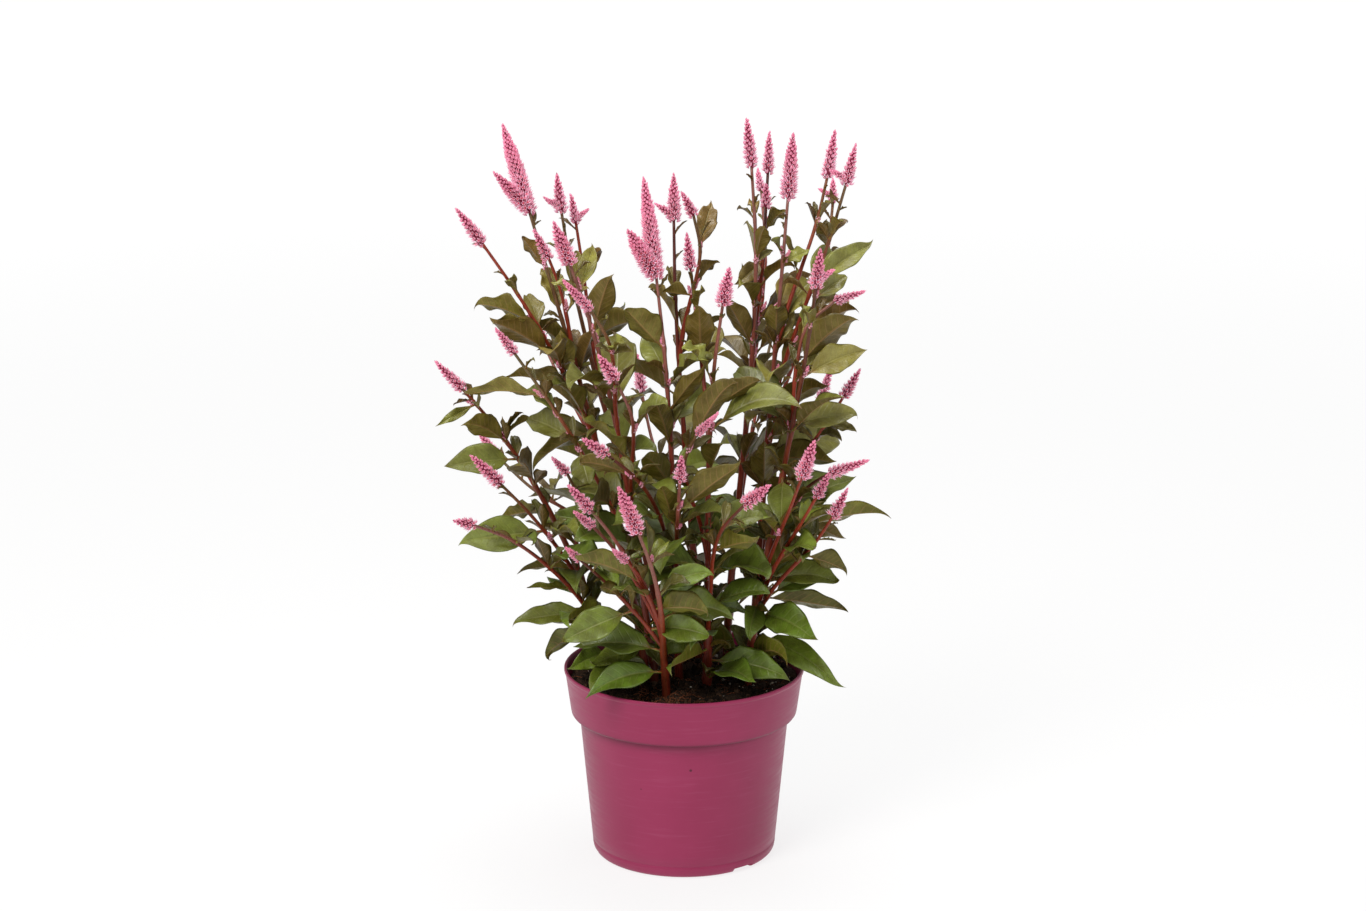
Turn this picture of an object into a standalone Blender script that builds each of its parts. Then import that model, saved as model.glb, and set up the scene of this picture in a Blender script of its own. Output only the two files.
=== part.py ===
"""A potted feather celosia: a plastic pot, its soil, eleven leafy stems and their flower spikes.

The origin is the middle of the pot's underside, +Z is up and -Y is the front of the plant.
Everything below is in metres; the planting plan is in millimetres and degrees.
"""

import math

import bmesh
import bpy
import numpy as np
from mathutils import Vector
from mathutils.bvhtree import BVHTree

MM = 0.001

# Pot
POT_HEIGHT = 152 * MM
RIM_RADIUS = 95 * MM
BAND_FOOT_RADIUS = 89.7 * MM
BAND_DEPTH = 38 * MM
WALL_TOP_RADIUS = 82.7 * MM
WALL_FOOT_RADIUS = 73 * MM
SOLE_RADIUS = 69 * MM
WALL = 1.8 * MM
FLOOR = 5.2 * MM
POT_STEPS = 32
NOTCH_ANGLES = (41, 161, 281)
NOTCH_WIDTH = 19 * MM
NOTCH_HEIGHT = 3.2 * MM
NOTCH_REACH = 22 * MM
DRAIN_RADIUS = 4 * MM
DRAIN_CIRCLE = 56 * MM

# Soil
SOIL_TOP = 142 * MM
SOIL_MOUND = 4 * MM
SOIL_RELIEF = 2 * MM
SOIL_RINGS = 4
SOIL_STEPS = 24
GAP = 0.3 * MM
HOLE_CLEARANCE = 0.6 * MM

# Stems
ROOT_DEPTH = 26 * MM
NECK = 8 * MM
MAIN_FOOT_RADIUS = 3.6 * MM
STALK_TIP_RADIUS = 1.2 * MM
BRANCH_RADIUS = 2.0 * MM
MAIN_POINTS = 7
BRANCH_POINTS = 5

# Leaves
LEAF_LENGTH_LOW = 78
LEAF_LENGTH_HIGH = 50
LEAF_STEP = 40
PETIOLE_SHARE = 0.14
PETIOLE_RADIUS = 1.1 * MM
ROOT_SINK = 1.2 * MM
MIDRIB_THICKNESS = 1.2 * MM
LEAF_CLEARANCE = 0.8 * MM
MOST_ROLL = math.radians(52)
CHOSEN_WIDTH = 1.14
BARE_STALK = 34 * MM
CROWN_LOW_RADIUS = 112 * MM
CROWN_RADIUS = 142 * MM
SEEN_BEFORE = 60 * MM
SEEN_ABOVE = 450 * MM

# Flower spikes
FLORET_REACH = 2.6 * MM
FLORET_ROW = 6.6 * MM
FLORETS_ROUND = 4
FLORETS_ROUND_SLIM = 3
SLIM = 5.7 * MM
FULLNESS = 1.1
FLORET_LIFT = 0.75

# How a chosen leaf gives way: tip to the back, tip up, more bow
LEAF_TRIES = (
    (0, 0, 0), (0, 0, 0.12), (9, 0, 0), (-9, 0, 0), (0, 8, 0), (18, 4, 0.1), (-18, 4, 0.1),
    (27, 8, 0), (-27, 8, 0), (0, -8, 0.2), (36, 0, 0.2), (-36, 0, 0.2), (0, 6, 0.3),
)

# How a leaf of the spiral gives way: degrees further round the stem, share of its length
TURN_TRIES = (
    (0, 1), (35, 1), (-35, 1), (70, 1), (-70, 0.9), (110, 0.85), (-110, 0.85), (150, 0.75),
)

# Where each leafy stem leaves the soil: x, y in millimetres
STEM_FEET = {
    "left_tall": (-32, 12),
    "left_back": (-16, 40),
    "left_front": (-24, -22),
    "left_low": (-54, -10),
    "middle": (-4, -12),
    "middle_back": (12, 36),
    "middle_front": (18, -34),
    "right_back": (34, 24),
    "right": (54, 4),
    "right_front": (50, -24),
    "front_low": (-14, -52),
}

# The spikes of each stem. The first ends the main stem, the others end side branches.
# fork height, foot x, y, z, length, lean to the right, lean to the back, radius
SPIKES = {
    "left_tall": (
        (0, -119, 19, 512, 72, -17, 9, 6.9),
        (330, -152, -40, 499, 37, -33, -18, 5.5),
        (380, -104, 0, 480, 29, -24, -20, 5.0),
    ),
    "left_back": (
        (0, -96, 60, 505, 32, -7, 9, 5.6),
        (360, -86, 95, 490, 24, -10, 12, 4.8),
        (250, -115, 130, 385, 34, -25, 30, 5.5),
        (215, -150, 85, 300, 30, -40, 20, 5.0),
    ),
    "left_front": (
        (0, -86, -50, 486, 38, -19, -16, 7.0),
        (340, -70, -95, 460, 34, -38, -22, 4.4),
        (280, -51, -120, 413, 27, -30, -25, 6.2),
        (235, -128, -60, 419, 28, -32, -24, 4.6),
    ),
    "left_low": (
        (0, -171, -10, 379, 33, -41, -12, 5.1),
        (215, -140, -60, 317, 38, -39, -29, 5.7),
        (190, -160, -80, 290, 22, -62, -62, 5.5),
        (230, -91, -20, 315, 22, -36, -34, 4.4),
    ),
    "middle": (
        (0, -21, -42, 474, 78, -7, 0, 6.5),
        (235, -58, -130, 359, 28, -48, -43, 5.2),
        (225, -3, -130, 339, 25, 3, -25, 5.2),
    ),
    "middle_back": (
        (0, -8, 50, 500, 38, 0, 8, 6.0),
        (390, 7, 20, 510, 23, -25, -15, 5.0),
        (220, -35, 165, 335, 34, -8, 30, 5.5),
    ),
    "middle_front": (
        (0, 29, -75, 460, 33, 9, -18, 6.6),
        (340, 5, -15, 475, 30, -6, -10, 5.5),
        (250, 10, -90, 364, 27, 40, -28, 3.8),
        (195, 45, -150, 326, 34, 42, -44, 6.0),
    ),
    "right_back": (
        (0, 52, 30, 546, 39, -6, 0, 5.6),
        (400, 66, 80, 533, 33, 2, 9, 5.0),
        (380, 64, 55, 510, 20, 0, 0, 5.2),
        (330, 62, 130, 510, 20, -10, 30, 4.2),
        (250, 75, 160, 395, 34, 15, 30, 5.5),
    ),
    "right": (
        (0, 80, 20, 523, 52, 4, 0, 6.6),
        (400, 111, 40, 536, 38, 9, 8, 5.6),
        (350, 123, -10, 539, 34, 12, -9, 5.4),
        (320, 119, 110, 505, 20, 0, 30, 4.6),
        (235, 112, 135, 335, 32, 20, 30, 5.2),
    ),
    "right_front": (
        (0, 99, -60, 470, 34, 5, -17, 6.0),
        (330, 116, -20, 451, 25, 70, -20, 4.4),
        (290, 124, 0, 371, 28, 28, -12, 5.2),
        (225, 88, -110, 336, 34, 16, -17, 6.6),
        (210, 100, -92, 316, 27, 22, -28, 5.2),
        (240, 112, -40, 320, 35, 66, -38, 5.0),
        (200, 113, -80, 297, 29, 22, -22, 5.5),
    ),
    "front_low": (
        (0, -34, -170, 311, 44, -20, -21, 6.9),
        (215, -69, -150, 322, 32, -35, -33, 5.2),
        (205, -69, -110, 298, 26, -41, -43, 4.3),
        (190, -79, -100, 269, 19, -40, -38, 3.8),
        (195, -43, -140, 280, 23, -38, -49, 3.8),
    ),
}

# Small spikes that grow out of the foot of a larger one.
# stem, number of its spike, height above that spike's foot, length, lean right, lean back, radius
SIDE_SPIKES = (
    ("left_tall", 0, 3, 45, -39, -28, 6.6),
    ("left_back", 0, 3, 17, -58, 0, 3.6),
    ("left_back", 1, 3, 14, 55, 10, 3.2),
    ("middle", 0, 1.5, 48, -29, -25, 8.6),
    ("middle_back", 0, 3, 20, -52, -20, 4.2),
    ("right", 2, 4, 17, -60, -20, 3.8),
    ("right", 3, 3, 14, -60, 10, 3.2),
    ("right_front", 0, 5, 17, 55, -10, 3.8),
)

# Leaves that stand out in the outline, placed one by one.
# stem, number of its path, height of the joint, tip x, y, z, width
CHOSEN_LEAVES = (
    ("left_tall", 1, 432, -163, -20, 448, 20),
    ("left_tall", 1, 422, -148, -40, 440, 15),
    ("left_tall", 0, 469, -126, 10, 497, 13),
    ("left_tall", 1, 404, -148, -36, 440, 22),
    ("left_tall", 0, 341, -122, 20, 307, 20),
    ("left_tall", 2, 387, -69, 0, 424, 20),
    ("left_tall", 1, 387, -95, -10, 426, 20),
    ("left_front", 3, 382, -173, -30, 377, 19),
    ("left_front", 3, 345, -125, -10, 356, 22),
    ("left_front", 3, 338, -72, -42, 311, 20),
    ("left_low", 0, 366, -191, -30, 354, 8),
    ("left_low", 0, 334, -168, -50, 361, 20),
    ("left_low", 0, 320, -187, -20, 319, 25),
    ("left_low", 1, 272, -175, -60, 269, 28),
    ("left_low", 0, 280, -146, 0, 272, 16),
    ("left_low", 0, 233, -131, -20, 234, 15),
    ("left_low", 2, 222, -123, -50, 231, 10),
    ("left_low", 0, 200, -138, -20, 194, 18),
    ("left_low", 0, 176, -115, 20, 147, 20),
    ("left_low", 0, 165, -90, -40, 160, 18),
    ("left_front", 0, 179, -75, -62, 170, 18),
    ("left_front", 0, 183, -51, -60, 185, 14),
    ("left_front", 0, 461, -68, -20, 494, 14),
    ("left_front", 0, 430, -55, -60, 479, 20),
    ("middle", 0, 417, -47, -50, 454, 26),
    ("middle", 0, 366, 16, -80, 411, 15),
    ("middle", 1, 333, -83, -120, 349, 18),
    ("middle", 2, 308, 44, -120, 349, 24),
    ("middle", 2, 286, -18, -110, 333, 18),
    ("middle", 0, 340, -24, -60, 384, 18),
    ("middle", 0, 303, -32, -60, 340, 20),
    ("middle", 2, 236, -26, -70, 279, 20),
    ("middle", 0, 399, -32, -20, 428, 20),
    ("middle_back", 1, 481, 22, 60, 512, 16),
    ("middle_back", 1, 442, -19, 32, 447, 16),
    ("middle_front", 1, 406, 11, -60, 458, 22),
    ("middle_front", 0, 373, 60, -60, 400, 20),
    ("middle_front", 2, 346, 41, -110, 400, 21),
    ("middle_front", 3, 276, 55, -140, 294, 21),
    ("middle_front", 0, 176, -14, -112, 186, 25),
    ("middle_front", 0, 184, -26, -86, 171, 26),
    ("middle_front", 0, 167, 84, -50, 156, 24),
    ("right_back", 2, 468, 40, 20, 452, 14),
    ("right_back", 0, 405, 31, 18, 447, 18),
    ("right_back", 3, 431, 45, 52, 462, 16),
    ("right", 1, 404, 81, 30, 441, 20),
    ("right", 0, 473, 98, 32, 482, 12),
    ("right", 3, 469, 110, 60, 499, 15),
    ("right", 0, 473, 81, 40, 501, 10),
    ("right", 0, 407, 72, 42, 440, 18),
    ("right", 0, 293, 62, -20, 341, 20),
    ("right", 2, 458, 148, 20, 488, 18),
    ("right", 0, 315, 118, -20, 319, 28),
    ("right", 0, 172, 125, -40, 141, 20),
    ("right_front", 0, 461, 125, -40, 476, 15),
    ("right_front", 1, 400, 131, -40, 443, 27),
    ("right_front", 0, 395, 140, -30, 414, 22),
    ("right_front", 1, 358, 137, -30, 366, 22),
    ("right_front", 2, 350, 135, -12, 346, 9),
    ("right_front", 5, 264, 162, -40, 287, 27),
    ("right_front", 6, 260, 128, -50, 243, 17),
    ("right_front", 0, 219, 132, -10, 201, 19),
    ("right_front", 0, 236, 104, -85, 264, 24),
    ("right_front", 0, 204, 103, -80, 195, 26),
    ("right_front", 4, 211, 49, -42, 186, 20),
    ("right_front", 0, 316, 74, -66, 285, 20),
    ("right_front", 0, 162, 82, -95, 171, 25),
    ("front_low", 1, 231, 22, -130, 235, 27),
    ("front_low", 0, 165, -76, -98, 157, 22),
    ("front_low", 3, 224, -96, -100, 202, 25),
    ("front_low", 4, 256, -86, -130, 277, 25),
)


def vector(values):
    return np.array(values, float)


def unit(v):
    return v / max(np.linalg.norm(v), 1e-9)


def across(v, axis):
    """The part of v square to axis, as a unit vector."""
    return unit(v - (v @ axis) * axis)


UP = vector((0, 0, 1))


# Layout: the paths of the stems, the axes of the spikes and the ribs of the leaves


def arc(start, start_way, end, end_way, count):
    """Points of the cubic that leaves start along start_way and reaches end along end_way."""
    t = np.linspace(0, 1, count)[:, None]
    span = np.linalg.norm(end - start)
    return (
        (2 * t**3 - 3 * t**2 + 1) * start
        + (t**3 - 2 * t**2 + t) * start_way * span
        + (3 * t**2 - 2 * t**3) * end
        + (t**3 - t**2) * end_way * span
    )


def leave_gap(path, way):
    """Draws the end of a stalk back from the foot of its spike, further where it meets it at a slant."""
    slant = np.linalg.norm(np.cross(unit(path[-1] - path[-2]), way))
    path[-1] -= (1.5 * GAP + STALK_TIP_RADIUS * slant) * way


def at_height(path, height):
    """The point of a path at a height, and the path's way there."""
    k = int(np.clip(np.searchsorted(path[:, 2], height), 1, len(path) - 1))
    share = (height - path[k - 1, 2]) / (path[k, 2] - path[k - 1, 2])
    way = path[k] - path[k - 1]
    return path[k - 1] + np.clip(share, 0, 1) * way, unit(way)


def lean(right, back):
    """The way that leans by these angles from upright."""
    return unit(vector((math.tan(math.radians(right)), math.tan(math.radians(back)), 1)))


def spike_of(row):
    foot, length, way = vector(row[1:4]) * MM, row[4] * MM, lean(row[5], row[6])
    return {"foot": foot, "way": way, "length": length, "radius": FULLNESS * row[7] * MM}


def grow_stem(name):
    """The main path of a stem and its branches, each with points and radii, and its spikes."""
    x, y = STEM_FEET[name]
    rows = SPIKES[name]
    spikes = [spike_of(row) for row in rows]
    neck = vector((x * MM, y * MM, SOIL_TOP + NECK))
    root = neck - UP * (NECK + ROOT_DEPTH)
    top = spikes[0]
    start_way = unit(unit(top["foot"] - neck) + 0.6 * UP)
    main = np.vstack([root, arc(neck, start_way, top["foot"], top["way"], MAIN_POINTS)])
    leave_gap(main, top["way"])
    radii = np.linspace(MAIN_FOOT_RADIUS, STALK_TIP_RADIUS, len(main))
    radii[:2] = MAIN_FOOT_RADIUS
    paths = [{"points": main, "radii": radii, "main": True}]
    for row, spike in zip(rows[1:], spikes[1:]):
        fork, way = at_height(main, row[0] * MM)
        start_way = unit(way + 1.3 * unit(spike["foot"] - fork))
        points = arc(fork, start_way, spike["foot"], spike["way"], BRANCH_POINTS)
        leave_gap(points, spike["way"])
        radii = np.linspace(BRANCH_RADIUS, STALK_TIP_RADIUS, len(points))
        paths.append({"points": points, "radii": radii, "main": False})
    for stem, number, height, length, right, back, radius in SIDE_SPIKES:
        if stem == name:
            parent = spikes[number]
            foot = parent["foot"] + parent["way"] * height * MM
            side = {"foot": foot, "way": lean(right, back), "length": length * MM}
            side["radius"] = FULLNESS * radius * MM
            parent.setdefault("sides", []).append(side)
    return {"name": name, "paths": paths, "spikes": spikes, "leaves": []}


def rib(root, tip, arch, count):
    """Points of a leaf's midrib: it rises from the joint, bows over the straight line and hangs."""
    t = np.linspace(0, 1, count)[:, None]
    span = tip - root
    bow = arch * np.linalg.norm(span) * UP
    first, second = root + 0.33 * span + 1.1 * bow, root + 0.72 * span + 1.2 * bow
    return (1 - t) ** 3 * root + 3 * (1 - t) ** 2 * t * first + 3 * (1 - t) * t**2 * second + t**3 * tip


def blade_share(t):
    """Half width of the blade along its length, as a share of the largest, with a drawn out tip."""
    u = np.clip((t - PETIOLE_SHARE) / (1 - PETIOLE_SHARE), 0, 1)
    return (u / 0.4) ** 0.8 * ((1 - u) / 0.6) ** 1.2


def leaf_frames(leaf, t):
    """The points of the midrib at t, with the blade's side way and upper side there."""
    fine = rib(leaf["root"], leaf["tip"], leaf["arch"], 41)
    where = np.linspace(0, 1, 41)
    points = np.stack([np.interp(t, where, fine[:, k]) for k in range(3)], 1)
    ahead = np.stack([np.interp(np.minimum(t + 0.02, 1), where, fine[:, k]) for k in range(3)], 1)
    behind = np.stack([np.interp(np.maximum(t - 0.02, 0), where, fine[:, k]) for k in range(3)], 1)
    ways = ahead - behind
    ways /= np.linalg.norm(ways, axis=1)[:, None]
    sides = np.cross(ways, leaf["face"])
    sides /= np.linalg.norm(sides, axis=1)[:, None]
    faces = np.cross(sides, ways)
    turn = (leaf["twist"] * t)[:, None]
    return points, sides * np.cos(turn) + faces * np.sin(turn), faces * np.cos(turn) - sides * np.sin(turn)


def leaf_rings(leaf, stations, swell=0.0):
    """Four-point sections of the folded blade: left edge, upper rib, right edge, lower rib."""
    t = vector(stations)
    points, sides, faces = leaf_frames(leaf, t)
    half = np.maximum(blade_share(t) * leaf["width"] / 2, PETIOLE_RADIUS) + swell
    reach = (half * math.cos(leaf["fold"]))[:, None] * sides
    rise = (half * math.sin(leaf["fold"]) * (half > 2 * PETIOLE_RADIUS))[:, None] * faces
    thick = (MIDRIB_THICKNESS / 2 + swell) * faces
    return np.stack([points - reach + rise, points + thick, points + reach + rise, points - thick], 1)


def new_leaf(root, tip, width, arch, twist, fold, roll=None):
    """A leaf from its joint to its tip. Its upper side faces up, rolled to the side that it stands on.

    With no roll given, it is rolled by up to MOST_ROLL until it shows the front most of a side.
    """
    way = unit(tip - root)
    face = across(UP - 0.5 * unit(vector((*way[:2], 0))), way)
    side = np.cross(way, face)
    if side @ vector((0.4 * root[0], root[1], 0)) < 0:
        side = -side
    if roll is None:
        rolls = np.linspace(-MOST_ROLL, MOST_ROLL, 9)
        roll = rolls[np.argmax(np.abs(np.cos(rolls) * face[1] + np.sin(rolls) * side[1]))]
    face = math.cos(roll) * face + math.sin(roll) * side
    shape = {"width": width, "arch": arch, "twist": twist, "fold": fold}
    return {"root": root, "tip": tip, "face": face, **shape}


def loft_faces(rings, sides, checker=False, pointed=False):
    """Triangles between successive rings and a fan to the tip, the first ring capped or drawn to a point."""
    faces = []
    for k in range(rings - 1):
        for j in range(sides):
            a, b = k * sides + j, k * sides + (j + 1) % sides
            c, d = b + sides, a + sides
            if (j + k * checker) % 2 == 0:
                faces += [(a, b, c), (a, c, d)]
            else:
                faces += [(a, b, d), (b, c, d)]
    last = (rings - 1) * sides
    faces += [(last + j, last + (j + 1) % sides, last + sides) for j in range(sides)]
    if pointed:
        faces += [((j + 1) % sides, j, last + sides + 1) for j in range(sides)]
    else:
        faces.append(tuple(range(sides))[::-1])
    return faces


def leaf_stations(leaf):
    """Where the plain solid of a leaf has its sections."""
    long = np.linalg.norm(leaf["tip"] - leaf["root"]) > 62 * MM
    return (PETIOLE_SHARE, 0.42, 0.74) if long else (0.34, 0.68)


def leaf_solid(leaf, first=0.0, swell=0.0):
    """Vertices and faces of the plain solid of a leaf, from the share `first` of its length on."""
    stations = [max(t, first) for t in leaf_stations(leaf)]
    rings = leaf_rings(leaf, stations, swell)
    tip = leaf["tip"] + swell * unit(leaf["tip"] - leaf["root"])
    if first:
        return np.vstack([rings.reshape(-1, 3), tip]), loft_faces(len(stations), 4)
    root = leaf["root"] + ROOT_SINK * unit(leaf["root"] - rings[0].mean(0))
    return np.vstack([rings.reshape(-1, 3), tip, root]), loft_faces(len(stations), 4, pointed=True)


def tube_solid(points, radii):
    """A three-sided tube round a path, as the space that a stem takes."""
    ways = np.gradient(points, axis=0)
    a = np.cross(ways, vector((0.3, 0.9, 0.1)))
    a /= np.linalg.norm(a, axis=1)[:, None]
    b = np.cross(ways, a)
    b /= np.linalg.norm(b, axis=1)[:, None]
    rings = [
        points + 1.2 * radii[:, None] * (math.cos(turn) * a + math.sin(turn) * b)
        for turn in np.arange(3) * math.tau / 3
    ]
    verts = np.vstack([np.stack(rings, 1).reshape(-1, 3), points[-1]])
    return verts, loft_faces(len(points), 3)


def spike_space(spike):
    """A six-sided cone round a spike, as the space that it takes."""
    way = spike["way"]
    a = across(vector((1, 0.2, 0)), way)
    b = np.cross(way, a)
    turns = np.arange(6) * math.tau / 6
    ring = np.cos(turns)[:, None] * a + np.sin(turns)[:, None] * b
    low = spike["foot"] - 1 * MM * way + spike["radius"] * ring
    high = spike["foot"] + 0.6 * spike["length"] * way + 0.9 * spike["radius"] * ring
    tip = spike["foot"] + (spike["length"] + 1 * MM) * way
    return np.vstack([low, high, tip]), loft_faces(2, 6)


def front_window(spike):
    """A flat strip from a spike towards the front and a little up, which no leaf may cross."""
    to_front = unit(vector((0, -0.96, 0.28))) * 0.2
    low, high = spike["foot"], spike["foot"] + spike["length"] * spike["way"]
    return np.array([low, high, high + to_front, low + to_front]), [(0, 1, 2), (0, 2, 3)]


class Space:
    """What is taken: solids as search trees, each with its box."""

    def __init__(self):
        self.trees, self.low, self.high, self.owners = [], [], [], []

    def add(self, solid, owner):
        verts, faces = solid
        self.trees.append(BVHTree.FromPolygons([Vector(v) for v in verts], faces))
        self.low.append(verts.min(0))
        self.high.append(verts.max(0))
        self.owners.append(owner)

    def free(self, solid, but=()):
        """Whether a solid crosses nothing here, apart from what the owners in `but` hold."""
        verts, faces = solid
        near = (vector(self.low) <= verts.max(0)).all(1) & (vector(self.high) >= verts.min(0)).all(1)
        tree = None
        for k in np.flatnonzero(near):
            if self.owners[k] in but:
                continue
            if tree is None:
                tree = BVHTree.FromPolygons([Vector(v) for v in verts], faces)
            if tree.overlap(self.trees[k]):
                return False
        return True


def clear_of_pot(leaf):
    """Whether a leaf stays above the soil and off the pot's rim and wall."""
    t = np.linspace(0.15, 1, 15)
    points, sides, _ = leaf_frames(leaf, t)
    half = (blade_share(t) * leaf["width"] / 2)[:, None]
    for edge in (points, points - half * sides, points + half * sides):
        radius = np.hypot(edge[:, 0], edge[:, 1])
        over_soil = (radius < RIM_RADIUS + 3 * MM) & (edge[:, 2] < POT_HEIGHT + 3 * MM)
        deep_inside = (radius < RIM_RADIUS - 12 * MM) & (edge[:, 2] > SOIL_TOP + SOIL_MOUND + 5 * MM)
        if (over_soil & ~deep_inside).any() or (edge[:, 2] < 20 * MM).any():
            return False
    return True


def settle(stem, space, leaf, windows):
    """Adds the leaf if its space is free, and says whether it was."""
    whole, blade = leaf_solid(leaf, 0, LEAF_CLEARANCE), leaf_solid(leaf, 0.2, LEAF_CLEARANCE)
    own = "stem " + stem["name"]
    if not clear_of_pot(leaf) or not space.free(whole, but=(own,)) or not space.free(blade):
        return False
    if windows is not None and not windows.free(blade):
        return False
    stem["leaves"].append(leaf)
    space.add(leaf_solid(leaf), "leaf")
    return True


def chosen_leaves(stems, space):
    """The leaves of the plan, each turned a little where its place is taken."""
    left_out = []
    for k, (name, number, height, x, y, z, width) in enumerate(CHOSEN_LEAVES):
        stem = stems[name]
        target = vector((x, y, z)) * MM
        root = at_height(stem["paths"][number]["points"], height * MM)[0]
        for back, up, more in LEAF_TRIES:
            tip = target + vector((0, back, up)) * MM
            twist = 0.3 * math.sin(2.1 * k)
            bow, fold = 0.05 + 0.05 * math.cos(1.7 * k) + more, math.radians(20)
            leaf = new_leaf(root, tip, CHOSEN_WIDTH * width * MM, bow, twist, fold)
            if settle(stem, space, leaf, None):
                break
        else:
            left_out.append(k)
    return left_out


def crown_radius(height):
    """How far from the pot's axis the leaves of the spiral reach, less just over the rim."""
    share = np.clip((height - POT_HEIGHT) / (120 * MM), 0, 1)
    return CROWN_LOW_RADIUS + share * (CROWN_RADIUS - CROWN_LOW_RADIUS)


def rule_leaves(stem, space, windows, rng):
    """Leaves in a spiral up each path, longest low down, turned on until their place is free."""
    golden = math.radians(137.5)
    for path in stem["paths"]:
        points = path["points"]
        gaps = np.linalg.norm(np.diff(points, axis=0), axis=1)
        along = np.concatenate([[0], np.cumsum(gaps)])
        place = (36 if path["main"] else 22) * MM
        turn = rng.uniform(0, math.tau)
        while place < along[-1] - BARE_STALK:
            root = np.array([np.interp(place, along, points[:, k]) for k in range(3)])
            high = np.clip((root[2] - 0.25) / 0.25, 0, 1)
            size = (LEAF_LENGTH_LOW + high * (LEAF_LENGTH_HIGH - LEAF_LENGTH_LOW)) * MM
            near_top = np.clip((along[-1] - place) / (110 * MM), 0.5, 1)
            length = size * near_top * rng.uniform(0.82, 1.2)
            rise = 14 + 38 * high + rng.uniform(-16, 16)
            arch, twist, fold = rng.uniform(0.1, 0.24), rng.uniform(-0.6, 0.6), rng.uniform(14, 30)
            slim, roll = rng.uniform(0.41, 0.51), math.radians(rng.uniform(5, 55))
            outward = unit(vector((*root[:2], 0)))
            for extra, shrink in TURN_TRIES:
                angle = turn + math.radians(extra)
                around = vector((math.cos(angle), math.sin(angle), 0))
                flat = unit(around + 0.7 * outward)
                climb = math.radians(rise - 0.08 * abs(extra))
                tip = root + shrink * length * (math.cos(climb) * flat + math.sin(climb) * UP)
                if math.hypot(*tip[:2]) > crown_radius(tip[2]):
                    continue
                leaf = new_leaf(root, tip, slim * shrink * length, arch, twist, math.radians(fold), roll)
                if settle(stem, space, leaf, windows):
                    break
            turn += golden
            place += LEAF_STEP * MM * rng.uniform(0.8, 1.25)


def grow_plant():
    """All stems with their branches, spikes and leaves."""
    stems = {name: grow_stem(name) for name in STEM_FEET}
    space, windows = Space(), Space()
    for name, stem in stems.items():
        for path in stem["paths"]:
            space.add(tube_solid(path["points"], path["radii"]), "stem " + name)
        for spike in stem["spikes"]:
            for one in [spike, *spike.get("sides", [])]:
                space.add(spike_space(one), "spike")
                if one["foot"][1] < SEEN_BEFORE or one["foot"][2] > SEEN_ABOVE:
                    windows.add(front_window(one), "window")
    left_out = chosen_leaves(stems, space)
    rng = np.random.default_rng(7)
    for stem in stems.values():
        rule_leaves(stem, space, windows, rng)
    return stems, left_out


# Solids


def material(name, colour, roughness):
    made = bpy.data.materials.new(name)
    made.use_nodes = True
    shader = made.node_tree.nodes["Principled BSDF"]
    shader.inputs["Base Color"].default_value = (*colour, 1)
    shader.inputs["Roughness"].default_value = roughness
    shader.inputs["Metallic"].default_value = 0
    return made


def put(obj, collection, finish=None):
    collection.objects.link(obj)
    if finish is not None:
        obj.data.materials.clear()
        obj.data.materials.append(finish)
    return obj


def mesh_object(name, solid):
    verts, faces = solid
    mesh = bpy.data.meshes.new(name)
    mesh.from_pydata([tuple(v) for v in verts], [], faces)
    mesh.validate()
    return bpy.data.objects.new(name, mesh)


def tube_object(name, points, radii, collection, resolution):
    """A stem as a bevelled curve with filled ends, turned into a closed mesh."""
    curve = bpy.data.curves.new(name, "CURVE")
    curve.dimensions = "3D"
    curve.bevel_depth = 1 * MM
    curve.bevel_resolution = resolution
    curve.use_fill_caps = True
    spline = curve.splines.new("POLY")
    spline.points.add(len(points) - 1)
    for point, place, radius in zip(spline.points, points, radii):
        point.co = (*place, 1)
        point.radius = radius / MM
    guide = bpy.data.objects.new(name + "_guide", curve)
    collection.objects.link(guide)
    bpy.context.view_layer.update()
    mesh = bpy.data.meshes.new_from_object(guide.evaluated_get(bpy.context.evaluated_depsgraph_get()))
    made = bpy.data.objects.new(name, mesh)
    made.matrix_world = guide.matrix_world
    bpy.data.objects.remove(guide)
    shape = bmesh.new()
    shape.from_mesh(mesh)
    bmesh.ops.remove_doubles(shape, verts=shape.verts, dist=0.01 * MM)
    bmesh.ops.recalc_face_normals(shape, faces=shape.faces)
    shape.to_mesh(mesh)
    shape.free()
    return made


def boolean(obj, operation, other):
    """Applies a Boolean with an object or a collection, and keeps the result in obj's mesh."""
    modifier = obj.modifiers.new(operation.lower(), "BOOLEAN")
    modifier.operation = operation
    modifier.solver = "EXACT"
    if isinstance(other, bpy.types.Collection):
        modifier.operand_type = "COLLECTION"
        modifier.collection = other
    else:
        modifier.object = other
    bpy.context.view_layer.update()
    mesh = bpy.data.meshes.new_from_object(obj.evaluated_get(bpy.context.evaluated_depsgraph_get()))
    obj.modifiers.clear()
    old, obj.data = obj.data, mesh
    bpy.data.meshes.remove(old)


def fuse(obj, repeats, name):
    """Joins the repeats to obj by one union, and removes them."""
    group = bpy.data.collections.new(name)
    bpy.context.scene.collection.children.link(group)
    for repeat in repeats:
        group.objects.link(repeat)
    boolean(obj, "UNION", group)
    for repeat in repeats:
        bpy.data.objects.remove(repeat)
    bpy.data.collections.remove(group)


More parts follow.
